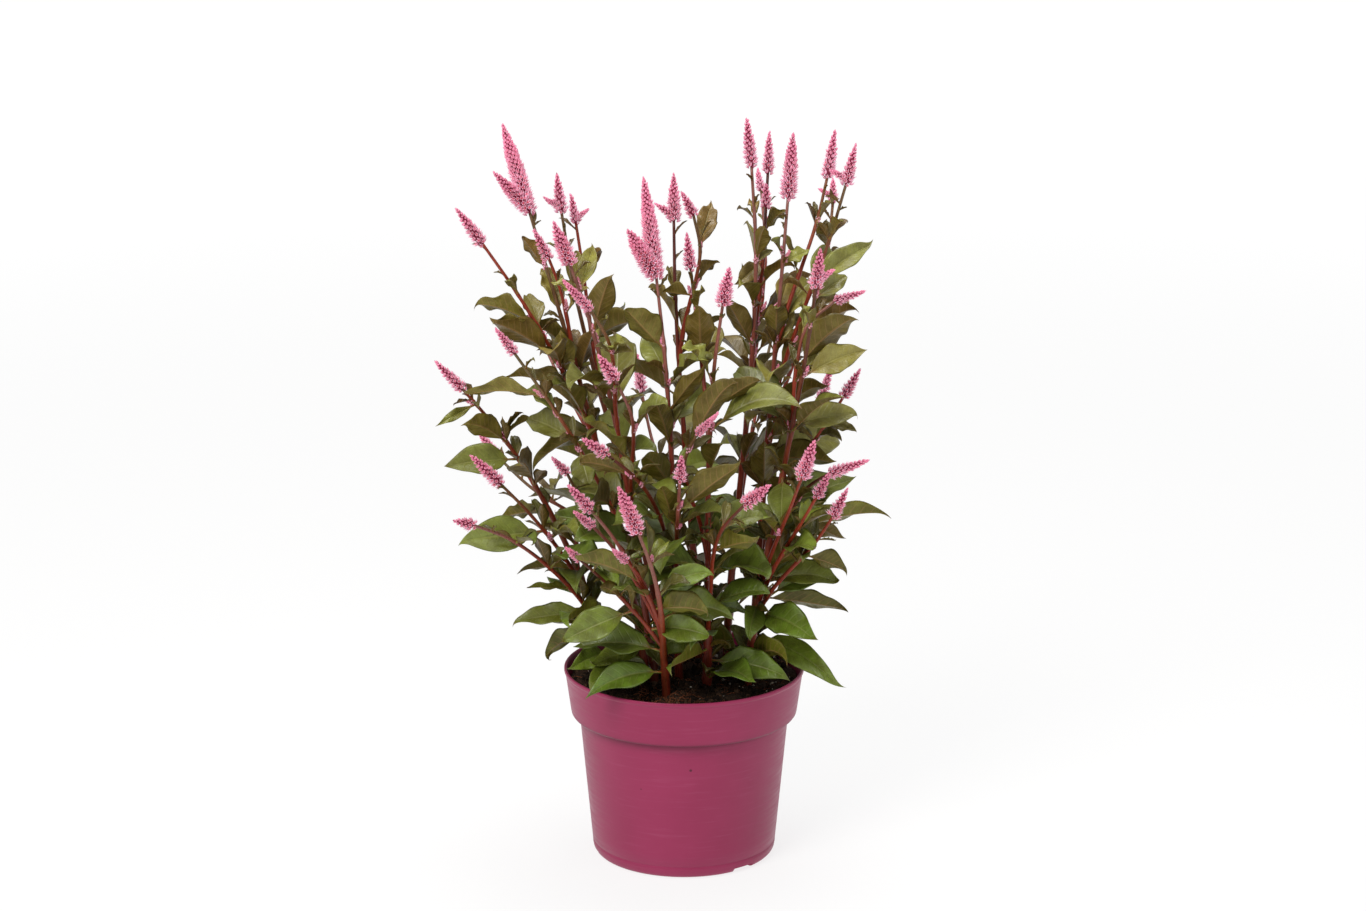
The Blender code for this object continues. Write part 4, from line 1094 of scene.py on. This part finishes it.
class Finish:
    """A material of one Principled shader, with short calls for the nodes in front of it."""

    def __init__(self, name, settings):
        self.material = bpy.data.materials.new(name)
        self.material.use_nodes = True
        self.nodes, self.links = self.material.node_tree.nodes, self.material.node_tree.links
        self.shader = self.nodes["Principled BSDF"]
        for socket, value in settings.items():
            self.put(self.shader.inputs[socket], value)

    def put(self, socket, value):
        if isinstance(value, bpy.types.NodeSocket):
            self.links.new(value, socket)
        else:
            socket.default_value = value

    def node(self, kind, values, **settings):
        made = self.nodes.new("ShaderNode" + kind)
        for key, value in settings.items():
            setattr(made, key, value)
        for key, value in values.items():
            self.put(made.inputs[key], value)
        return made

    def math(self, operation, *values):
        return self.node("Math", dict(enumerate(values)), operation=operation).outputs[0]

    def blend(self, share, a, b, kind="MIX"):
        a, b = ((*c, 1) if isinstance(c, np.ndarray) else c for c in (a, b))
        return self.node("Mix", {0: share, 6: a, 7: b}, data_type="RGBA", blend_type=kind).outputs[2]

    def shaded(self, share, tone, colour):
        """The tone, multiplied by the colour where share is 1."""
        return self.blend(share, tone, self.blend(1.0, tone, colour, "MULTIPLY"))

    def noise(self, place, scale, detail=3.0, roughness=0.55):
        values = {"Vector": place, "Scale": scale, "Detail": detail, "Roughness": roughness}
        return self.node("TexNoise", values).outputs[0]

    def spread(self, value, low, high, to_low=0.0, to_high=1.0):
        values = {0: value, 1: low, 2: high, 3: to_low, 4: to_high}
        return self.node("MapRange", values, interpolation_type="SMOOTHSTEP").outputs[0]

    def tone(self):
        return self.node("Attribute", {}, attribute_name="tone").outputs["Color"]

    def spot(self):
        return self.node("TexCoord", {}).outputs["Object"]

    def scaled(self, place, scale):
        return self.node("Mapping", {"Vector": place, "Scale": scale}).outputs[0]

    def show(self, colour, height=None, strength=0.3, distance=0.0005):
        self.put(self.shader.inputs["Base Color"], colour)
        if height is not None:
            values = {"Height": height, "Strength": strength, "Distance": distance}
            self.put(self.shader.inputs["Normal"], self.node("Bump", values).outputs[0])
        return self.material


def leaf_finish(name, under):
    """Leaf: its own tone, mottled, with pale side veins where rings of the blade are whole numbers. The
    underside is blended towards a dark olive brown, partly its own colour and partly painted shade of the
    side that faces down.
    """
    f = Finish(name, {"Specular IOR Level": 0.3 if under else 0.6})
    spot, tone = f.spot(), f.tone()
    place = f.node("UVMap", {}, uv_map="place").outputs[0]
    parts = f.node("SeparateXYZ", {0: place})
    side = f.math("ABSOLUTE", parts.outputs[0])
    past_vein = f.math("FRACT", f.math("ADD", parts.outputs[1], 0.5))
    nearest = f.math("ABSOLUTE", f.math("SUBTRACT", past_vein, 0.5))
    vein = f.math("MULTIPLY", f.spread(nearest, 0.12, 0.02), f.spread(side, 0.97, 0.5))
    midrib = f.spread(side, 0.1, 0.03)
    ribs = f.math("MAXIMUM", f.math("MULTIPLY", vein, 0.55), midrib)
    mottle = f.noise(spot, 95, 4)
    net = f.noise(spot, 900, 2)
    if under:
        # underside: its own colour with painted shade of the downward side
        base = f.blend(0.6, tone, LEAF_UNDER)
        pale, share = VEIN_UNDER, 0.45
    else:
        base = tone
        pale, share = VEIN_UPPER, 0.18
    dark = f.shaded(f.spread(mottle, 0.3, 0.7), base, srgb(206, 198, 156))
    fine = f.shaded(f.spread(net, 0.4, 0.75, 0.0, 0.35), dark, srgb(170, 170, 150))
    colour = f.blend(f.math("MULTIPLY", ribs, share), fine, pale)
    f.put(f.shader.inputs["Roughness"], f.spread(mottle, 0.3, 0.7, 0.34, 0.48))
    height = f.math("ADD", f.math("MULTIPLY", ribs, 0.9 if under else -0.9), f.math("MULTIPLY", net, 0.35))
    return f.show(colour, height, 0.45, 0.0006)


def stalk_finish():
    """Stalk: its own tone with fine streaks along it, and a slight gloss."""
    f = Finish("ribbed stalk", {"Roughness": 0.42, "Specular IOR Level": 0.4})
    streaks = f.noise(f.scaled(f.spot(), (1, 1, 0.06)), 900, 2)
    patches = f.noise(f.spot(), 60, 3)
    tone = f.tone()
    colour = f.shaded(f.spread(streaks, 0.35, 0.75, 0.0, 0.8), tone, srgb(176, 150, 150))
    patch = f.blend(1.0, tone, srgb(210, 190, 150), "MULTIPLY")
    colour = f.blend(f.spread(patches, 0.45, 0.75, 0.0, 0.5), colour, patch)
    return f.show(colour, streaks, 0.3, 0.0004)


def petal_finish():
    """Tepals: their own tone, dry and papery, with fine streaks, a soft sheen and a painted glow in their own
    colour that stands in for light let through.
    """
    values = {"Roughness": 0.55, "Sheen Weight": 0.25, "Sheen Roughness": 0.4, "Specular IOR Level": 0.3}
    f = Finish("papery tepals", {**values, "Emission Strength": PETAL_PAINTED_GLOW})
    streaks = f.noise(f.spot(), 1500, 2)
    colour = f.shaded(f.spread(streaks, 0.4, 0.7, 0.0, 0.5), f.tone(), srgb(214, 170, 190))
    # painted glow: the tepals emit their own colour, though they are no lamp
    f.put(f.shader.inputs["Emission Color"], colour)
    return f.show(colour, streaks, 0.2, 0.0003)


def pot_finish():
    """Moulded plastic: magenta with faint clouds, pale scuffs round it, a satin skin and dark specks, times
    its tone, which holds a painted shadow under the rim band.
    """
    f = Finish("magenta plastic", {"Specular IOR Level": 0.35})
    spot = f.spot()
    clouds, fine = f.noise(spot, 14, 3), f.noise(spot, 900, 2)
    scuffs = f.noise(f.scaled(spot, (1, 1, 14)), 30, 4)
    specks = f.node("TexVoronoi", {"Vector": spot, "Scale": 26.0}).outputs["Distance"]
    base = f.blend(f.spread(clouds, 0.3, 0.7), POT_MAGENTA, POT_DEEP)
    colour = f.blend(f.spread(scuffs, 0.5, 0.85, 0.0, 0.22), base, POT_SCUFF)
    colour = f.blend(f.spread(specks, 0.035, 0.02), colour, POT_SPECK)
    # times the tone, which holds the painted shadow under the rim band
    colour = f.blend(1.0, colour, f.tone(), "MULTIPLY")
    f.put(f.shader.inputs["Roughness"], f.spread(scuffs, 0.3, 0.8, 0.34, 0.5))
    height = f.math("ADD", f.math("MULTIPLY", fine, 0.5), clouds)
    return f.show(colour, height, 0.12, 0.0004)


def soil_finish():
    """Potting soil: its own tone in dark clods, rough and uneven."""
    f = Finish("potting soil", {"Roughness": 0.95, "Specular IOR Level": 0.2})
    grain, clods = f.noise(f.spot(), 900, 4, 0.7), f.noise(f.spot(), 220, 4, 0.65)
    tone = f.tone()
    colour = f.blend(f.spread(grain, 0.35, 0.7), f.blend(1.0, tone, srgb(140, 128, 120), "MULTIPLY"), tone)
    height = f.math("ADD", grain, clods)
    return f.show(colour, height, 0.8, 0.001)


# Pieces


def relief(x, y, seed, scale, octaves):
    """Height from sines across x and y in drawn ways, each octave twice as fine and 1.7 times lower."""
    rng = np.random.default_rng(seed)
    total = np.zeros_like(x)
    for k in range(octaves):
        for _ in range(5):
            angle, phase = rng.uniform(0, math.tau, 2)
            size = scale * 2**k * rng.uniform(0.7, 1.3)
            total += np.sin(size * (x * math.cos(angle) + y * math.sin(angle)) + phase) / 5 / 1.7**k
    return total


def straight(start, end, first, count):
    """Points on the line from start to end, from the share `first` of it on."""
    start, end = vector(start), vector(end)
    return [tuple(start + share * (end - start)) for share in np.linspace(first, 1, count)]


def pot_section():
    """Radius and height down the outside of the pot and under its sole, and up its inside.

    The rows are in millimetres from the driving sizes, with the turns rounded.
    """
    tall, rim, band, wall = (size / MM for size in (POT_HEIGHT, RIM_RADIUS, BAND_FOOT_RADIUS, WALL))
    top, foot, sole, floor = (size / MM for size in (WALL_TOP_RADIUS, WALL_FOOT_RADIUS, SOLE_RADIUS, FLOOR))
    step = tall - BAND_DEPTH / MM
    notch_end = sole + 10 - NOTCH_REACH / MM
    outside = [
        (rim - 1.25, tall - 0.1), (rim - 0.9, tall), (rim - 0.35, tall - 0.15), (rim, tall - 0.75),
        (rim, tall - 2.3), (rim - 0.25, tall - 2.9), (rim - 0.85, tall - 3.4), (rim - 1.05, tall - 4.2),
    ]
    outside += straight(outside[-1], (band, step + 3.2), 0.12, 8)
    for turn in np.radians((25, 50, 75, 95)):
        outside.append((band - 2.6 * (1 - math.cos(turn)), step + 3.2 - 2.8 * math.sin(turn)))
    outside += [(top + 1.6, step + 0.9), (top + 0.3, step + 0.6), (top, step - 0.6), (top - 0.1, step - 4)]
    outside += straight(outside[-1], (foot + 0.25, 10.2), 0.1, 10)
    outside += [
        (foot - 0.15, 9.7), (foot - 0.15, 9.0), (foot + 0.1, 8.5), (foot, 6.5),
        (foot - 0.5, 3.6), (foot - 1.3, 1.9), (foot - 2.5, 0.6),
        (sole, 0), (sole - 4, 0), (notch_end, 0), (notch_end - 0.4, 0), (50, 0), (25, 0),
    ]
    inside = [
        (25, floor), (sole - wall - 1, floor), (sole - wall + 1, floor + 0.6), (foot - wall, floor + 4),
        (top - wall, step - 0.8), (top - wall + 0.6, step + 0.3),
        (band - wall - 0.8, step + 1.2), (band - wall, step + 2.6),
        (rim - wall - 1.3, tall - 3), (rim - wall - 0.5, tall - 0.8), (rim - wall - 0.1, tall - 0.25),
    ]
    return vector(outside) * MM, vector(inside) * MM


def pot_turns():
    """Angles round the pot, with a close pair at each side of a notch, and which of them lie in a notch."""
    half = NOTCH_WIDTH / 2 / SOLE_RADIUS
    turns = np.arange(POT_AROUND) * math.tau / POT_AROUND
    for angle in np.radians(NOTCH_ANGLES):
        for side in (angle - half, angle + half):
            turns = np.append(turns[np.abs(turns - side) > 0.012], (side - 0.004, side + 0.004))
    turns = np.sort(turns)
    return turns, (np.abs(turns - np.radians(NOTCH_ANGLES)[:, None]) < half).any(0)


def make_pot():
    """The pot: its section turned round Z, with the sole raised where the drainage notches are.

    Its tone is 1, and darker by BAND_PAINTED_SHADOW as a painted shadow in the corner under the rim band, by
    a bell curve of the height.
    """
    outside, inside = pot_section()
    turns, in_notch = pot_turns()
    section = np.concatenate([outside, inside])
    around, low, count = len(turns), len(outside) - 1, len(section)
    radius, height = section[:, :1], section[:, 1:]
    sole = (np.arange(count)[:, None] <= low) & (radius > SOLE_RADIUS + 9.8 * MM - NOTCH_REACH)
    height = np.where(sole & (height < NOTCH_HEIGHT), np.maximum(height, NOTCH_HEIGHT * in_notch), height)
    rings = np.stack(np.broadcast_arrays(radius * np.sin(turns), -radius * np.cos(turns), height), -1)
    verts = np.concatenate([rings.reshape(-1, 3), [(0, 0, 0), (0, 0, FLOOR)]])

    quads = ring_faces(count, around)
    quads = quads[quads[:, 0] // around != low]
    wrap = ring_faces(2, around)
    wrap = np.where(wrap < around, wrap + (count - 1) * around, wrap - around)
    j = np.arange(around)
    n = (j + 1) % around
    under = np.stack([low * around + j, low * around + n, np.full(around, count * around)], -1)
    over = np.stack([(low + 1) * around + n, (low + 1) * around + j, np.full(around, count * around + 1)], -1)
    groups = [group[:, ::-1] for group in (quads, wrap, under, over)]

    # painted shadow: the pot's tone is darker in the corner under the rim band
    above_step = section[:, 1] - (POT_HEIGHT - BAND_DEPTH + 0.4 * MM)
    band_shadow_share = np.exp(-((above_step / (1.8 * MM)) ** 2)) * (section[:, 0] > WALL_TOP_RADIUS - 1 * MM)
    shade = np.concatenate([np.repeat(1 - BAND_PAINTED_SHADOW * band_shadow_share, around), [1, 1]])
    surface = Surface()
    surface.add(verts, shade[:, None] * np.ones(3), groups, (0, 0, 0, 0))
    pot = surface.make("moulded_pot", [pot_finish()])
    pot.data.set_sharp_from_angle(angle=math.radians(42))
    return pot


def soil_height(x, y):
    """Top of the soil: a low mound with lumps, as sums of sines, and a fine relief."""
    radius = np.hypot(x, y) / RIM_RADIUS
    lumps = np.sin(190 * x + 1) * np.cos(230 * y) + 0.6 * np.sin(410 * x - 330 * y)
    base = SOIL_TOP + SOIL_MOUND * (1 - radius**2) + SOIL_RELIEF * 0.6 * lumps
    return base + 1.3 * MM * relief(x, y, 3, 420, 4)


def add_soil_body(surface):
    """The soil as rings from its middle out, closer together outwards, and down inside the pot's wall."""
    turns = np.arange(SOIL_AROUND) * math.tau / SOIL_AROUND
    radius = SOIL_REACH * (np.arange(1, SOIL_FINE_RINGS + 1) / SOIL_FINE_RINGS)[:, None] ** 0.85
    x, y = radius * np.cos(turns), radius * np.sin(turns)
    wall = (
        (SOIL_REACH, SOIL_TOP - 6 * MM),
        (WALL_TOP_RADIUS - WALL - 1 * MM, POT_HEIGHT - BAND_DEPTH - 3 * MM),
        (WALL_FOOT_RADIUS - WALL - 1.4 * MM, FLOOR + 5 * MM),
        (SOLE_RADIUS - WALL - 2 * MM, FLOOR + GAP),
    )
    sides = [np.stack(np.broadcast_arrays(r * np.cos(turns), r * np.sin(turns), h), -1) for r, h in wall]
    grid = np.concatenate([np.stack([x, y, soil_height(x, y)], -1), sides])[:, ::-1]
    count = len(grid)
    ends = [(0, 0, soil_height(0.0, 0.0)), (0, 0, FLOOR + GAP)]
    verts = np.concatenate([grid.reshape(-1, 3), ends])
    shade = 0.5 + 0.5 * relief(verts[:, 0], verts[:, 1], 5, 300, 3)
    tones = mixed(SOIL_DARK, SOIL_PALE, np.clip(shade, 0, 1) * 0.5)
    fans = end_faces(count, SOIL_AROUND, count * SOIL_AROUND, count * SOIL_AROUND + 1)
    surface.add(verts, tones, (ring_faces(count, SOIL_AROUND), fans), (0, 0))


def crumb():
    """A ball of 18 corners and 32 triangles: an octahedron whose edges are halved."""
    axes = vector([(1, 0, 0), (0, 1, 0), (-1, 0, 0), (0, -1, 0), (0, 0, 1), (0, 0, -1)])
    faces = [(j, (j + 1) % 4, 4) for j in range(4)] + [((j + 1) % 4, j, 5) for j in range(4)]
    verts, halves, cut = list(axes), {}, []

    def half(a, b):
        key = (min(a, b), max(a, b))
        if key not in halves:
            halves[key] = len(verts)
            verts.append(unit(verts[a] + verts[b]))
        return halves[key]

    for a, b, c in faces:
        ab, bc, ca = half(a, b), half(b, c), half(c, a)
        cut += [(a, ab, ca), (ab, b, bc), (ca, bc, c), (ab, bc, ca)]
    return np.array(verts), np.array(cut)


def anywhere(number, rng):
    """Drawn places all over the soil, as dense at its edge as in its middle."""
    angle = rng.uniform(0, math.tau, number)
    away = SOIL_REACH * np.sqrt(rng.uniform(0, 0.97, number))
    return np.stack([away * np.cos(angle), away * np.sin(angle)], -1)


def scatter(surface, spots, low, high, tones, rng):
    """Crumbs at the spots: balls of uneven radius, squashed, a quarter of their size above the soil."""
    ball, faces = crumb()
    number = len(spots)
    size = low + (high - low) * rng.uniform(0, 1, number) ** 2
    pull = rng.uniform(0.7, 1.25, (number, len(ball), 1))
    squash = rng.uniform(0.6, 1.2, (number, 1, 3))
    places = np.column_stack([spots, soil_height(*spots.T) + 0.25 * size])
    far = np.hypot(*spots.T) + 1.3 * size
    places[:, :2] *= np.minimum(1, (SOIL_REACH + 0.6 * MM) / far)[:, None]
    verts = places[:, None] + size[:, None, None] * ball * pull * squash
    shown = tones[rng.integers(len(tones), size=number)][:, None] * rng.uniform(0.7, 1.2, (number, 1, 1))
    group = (faces[None] + (np.arange(number) * len(ball))[:, None, None]).reshape(-1, 3)
    shown = np.broadcast_to(shown, verts.shape)
    surface.add(verts.reshape(-1, 3), shown.reshape(-1, 3), (group,), (0,))


def add_fibre(surface, in_front, rng):
    """A thin crooked root on the soil: six points, each turned a little from the last, bowed up between."""
    angle, away = rng.uniform(0, math.tau), SOIL_REACH * math.sqrt(rng.uniform(0, 0.8))
    if in_front:
        angle, away = math.radians(rng.uniform(235, 275)), SOIL_REACH * rng.uniform(0.55, 0.93)
    heading = rng.uniform(0, math.tau) + np.cumsum(rng.uniform(-0.5, 0.5, 6))
    steps = rng.uniform(1.2, 3.2) * MM * np.stack([np.cos(heading), np.sin(heading)], -1)
    flat = away * vector((math.cos(angle), math.sin(angle))) + np.cumsum(steps, axis=0)
    flat *= np.minimum(1, (SOIL_REACH - 1 * MM) / np.hypot(*flat.T))[:, None]
    lift = rng.uniform(0.2, 1.6) * MM * np.sin(np.linspace(0.3, 2.6, 6))
    curve = np.column_stack([flat, soil_height(*flat.T) + lift])
    rings = stalk_rings(curve, np.full(6, rng.uniform(0.18, 0.4) * MM), 0, 0)[:, ::2]
    add_tube(surface, rings, curve, FIBRE * rng.uniform(0.6, 1.3), 0)


def make_soil(rng):
    """Soil with a lumpy surface, crumbs, pale grains and fibres, more of these two at the front."""
    surface = Surface()
    add_soil_body(surface)
    clods, pale = np.stack([SOIL_DARK, SOIL_DARK, SOIL_PALE]), PERLITE[None]
    scatter(surface, anywhere(CRUMBS, rng), 0.5 * MM, 2.6 * MM, clods, rng)
    scatter(surface, anywhere(GRAINS, rng), 0.5 * MM, 1.5 * MM, pale, rng)
    angle = np.radians(rng.uniform(252, 292, FRONT_GRAINS))
    away = rng.uniform(80, 88, FRONT_GRAINS) * MM
    front = np.stack([away * np.cos(angle), away * np.sin(angle)], -1)
    scatter(surface, front, 1.5 * MM, 3.0 * MM, pale, rng)
    for k in range(FIBRES):
        add_fibre(surface, k % 2, rng)
    return surface.make("potting_soil", [soil_finish()])


def bract_leaf(root, way, rng):
    """A small narrow leaf or bract from a point of a stalk, leaning out from it."""
    length, turn = rng.uniform(8, 19) * MM, rng.uniform(0, math.tau)
    flat = vector((math.cos(turn), math.sin(turn), 0))
    tip = root + length * unit(across(flat, way) + rng.uniform(0.1, 1.3) * way)
    width, arch, twist = length * rng.uniform(0.2, 0.34), rng.uniform(0, 0.2), rng.uniform(-1.2, 1.2)
    return new_leaf(root, tip, width, arch, twist, 0.35, 0)


def axil_leaves(stem, space, rng):
    """Small leaves that start beside each large one, fewer high up, turned on until their place is free."""
    made = []
    for leaf in stem["leaves"]:
        root = leaf["root"]
        out = leaf["tip"] - root
        heading = math.atan2(out[1], out[0])
        high = ease(root[2], 0.2, 0.5)
        for side in (-1, 1):
            if rng.uniform() < 0.7 * ease(root[2], 0.36, 0.46):
                continue
            length = rng.uniform(20, 38) * (1 - 0.35 * high) * MM
            slim, roll = rng.uniform(0.34, 0.46), rng.uniform(-0.8, 0.8)
            climb, twist, fold = rng.uniform(0.1, 1.1), rng.uniform(-0.8, 0.8), rng.uniform(0.25, 0.6)
            turn, arch = rng.uniform(0.3, 1.4), rng.uniform(0.05, 0.25)
            for more in (0, 0.7, 1.4, -0.5):
                angle = heading + side * (turn + more)
                flat = vector((math.cos(angle), math.sin(angle), 0))
                tip = root + length * (math.cos(climb) * flat + math.sin(climb) * UP)
                small = new_leaf(root, tip, slim * length, arch, twist, fold, roll)
                if clear_of_pot(small) and space.free(leaf_solid(small, 0.34, 0.3 * MM)):
                    space.add(leaf_solid(small, 0.34), "leaf")
                    made.append(small)
                    break
    return made


def stem_curves(stem):
    """The smooth curve of each path, a branch from the nearest point of the main one, and the way along."""
    curves = []
    for path in stem["paths"]:
        points = path["points"].copy()
        if curves:
            main = curves[0][0]
            points[0] = main[np.argmin(np.linalg.norm(main - points[0], axis=1))]
        curve, share = smooth_path(points, STALK_STEP)
        curves.append((curve, share, path))
    return curves


def side_bud(leaf, foot, along, rng):
    """A small closed spike in the joint of a leaf, between the leaf and the stalk."""
    out = unit(leaf["tip"] - leaf["root"])
    way = unit(along + rng.uniform(0.25, 0.7) * out)
    return {
        "foot": foot + 2.2 * MM * unit(out + along), "way": way,
        "length": rng.uniform(5, 11) * MM, "radius": rng.uniform(1.6, 2.6) * MM, "open": 0.25,
    }


def make_leafy_stem(stem, space, finishes, rng):
    """The stalks of one stem with all its leaves and the small bracts under its spikes, and its buds."""
    surface, buds = Surface(), Surface()
    curves = stem_curves(stem)
    centre = np.concatenate([curve for curve, _, _ in curves])
    ways = np.concatenate([np.gradient(curve, axis=0) for curve, _, _ in curves])
    joints = np.array([leaf["root"] for leaf in stem["leaves"]])
    for curve, share, path in curves:
        radii = np.interp(share, np.linspace(0, 1, len(path["radii"])), path["radii"])
        near = np.linalg.norm(curve[:, None] - joints[None], axis=2).min(1)
        radii = STALK_SLIM * radii * (1 + JOINT_SWELL * np.exp(-((near / JOINT_REACH) ** 2)))
        rings = stalk_rings(curve, radii, STALK_RIBS, 0.4)
        add_tube(surface, rings, curve, stalk_tones(curve, share, path["main"], rng), 2)

    def add_fine_leaf(leaf, small=False):
        k = np.argmin(np.linalg.norm(centre - leaf["root"], axis=1))
        add_leaf(surface, leaf, leaf_look(rng, leaf["root"], small), centre[k] - leaf["root"], (0, 1, 2))
        return k

    for leaf in stem["leaves"]:
        k = add_fine_leaf(leaf)
        if rng.uniform() < 0.75 * ease(leaf["root"][2], 0.2, 0.4):
            add_spike(buds, side_bud(leaf, centre[k], unit(ways[k]), rng), rng, rng.uniform(0.0, 0.45))
    for leaf in axil_leaves(stem, space, rng):
        add_fine_leaf(leaf, True)
    for curve, _, _ in curves:
        along = np.linalg.norm(curve[-1] - curve, axis=1)
        for distance in rng.uniform(5, 32, 2) * MM:
            k = np.argmin(np.abs(along - distance))
            small = bract_leaf(curve[k], unit(np.gradient(curve, axis=0)[k]), rng)
            add_leaf(surface, small, leaf_look(rng, small["root"], True), np.zeros(3), (0, 1, 2))
    piece = surface.make("leafy_" + stem["name"], finishes)
    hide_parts("stem_" + stem["name"])
    return piece, buds


def dress_plant():
    stems, space = grow_plant()
    leaf_sides = leaf_finish("leaf upper side", False), leaf_finish("leaf underside", True)
    stalk, petals = stalk_finish(), petal_finish()
    rng = np.random.default_rng(21)
    for name, stem in stems.items():
        piece, buds = make_leafy_stem(stem, space, [*leaf_sides, stalk], rng)
        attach(piece, "root")
        flowers = Surface()
        for spike in stem["spikes"]:
            for one in [spike, *spike.get("sides", [])]:
                add_spike(flowers, one, rng)
        spikes = flowers.make("spikes_" + name, [petals], False)
        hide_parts(*(f"spike_{name}_{k + 1}" for k in range(len(stem["spikes"]))))
        tips = buds.make("buds_" + name, [petals], False)
        for one in (spikes, tips):
            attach(one, "root")
    pot, soil = make_pot(), make_soil(rng)
    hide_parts("pot")
    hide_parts("soil")
    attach(pot, "root")
    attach(soil, "root")


# Studio


def area_light(name, place, size, power, colour):
    light = bpy.data.lights.new(name, "AREA")
    light.shape = "DISK"
    light.size, light.energy, light.color = size, power, colour
    lamp = bpy.data.objects.new(name, light)
    lamp.location = place
    lamp.rotation_euler = (Vector(LIGHT_AIM) - Vector(place)).to_track_quat("-Z", "Y").to_euler()
    bpy.context.scene.collection.objects.link(lamp)


def make_studio():
    """Camera, soft lights and a pale floor, which gives off more light of its own further away."""
    scene = bpy.context.scene
    scene.view_settings.view_transform = "Standard"
    lens = bpy.data.cameras.new("camera")
    lens.lens, lens.sensor_width = 85, 36
    lens.clip_start, lens.clip_end = 0.05, 100
    camera = bpy.data.objects.new("camera", lens)
    camera.location = CAMERA_PLACE
    camera.rotation_euler = (CAMERA_TILT, 0, 0)
    scene.collection.objects.link(camera)
    scene.camera = camera

    world = bpy.data.worlds.new("studio")
    world.use_nodes = True
    sky = world.node_tree.nodes["Background"]
    sky.inputs["Color"].default_value = (1, 1, 1, 1)
    sky.inputs["Strength"].default_value = 0.28
    scene.world = world
    for name, place, size, power, colour in LIGHTS:
        area_light(name, place, size, power, colour)

    floor = bpy.data.meshes.new("floor")
    corners = [(x * FLOOR_REACH, y * FLOOR_REACH, -0.5 * MM) for x, y in ((-1, -1), (1, -1), (1, 1), (-1, 1))]
    floor.from_pydata(corners, [], [(0, 1, 2, 3)])
    settings = {"Roughness": 0.9, "Specular IOR Level": 0.1, "Emission Color": (1, 1, 1, 1)}
    plain = Finish("pale floor", settings)
    away = plain.node("VectorMath", {0: plain.spot()}, operation="LENGTH").outputs["Value"]
    plain.put(plain.shader.inputs["Emission Strength"], plain.spread(away, 0.5, 4.0, 0.8, 0.96))
    floor.materials.append(plain.show((0.2, 0.2, 0.2, 1)))
    ground = bpy.data.objects.new("floor", floor)
    scene.collection.objects.link(ground)


make_studio()
dress_plant()
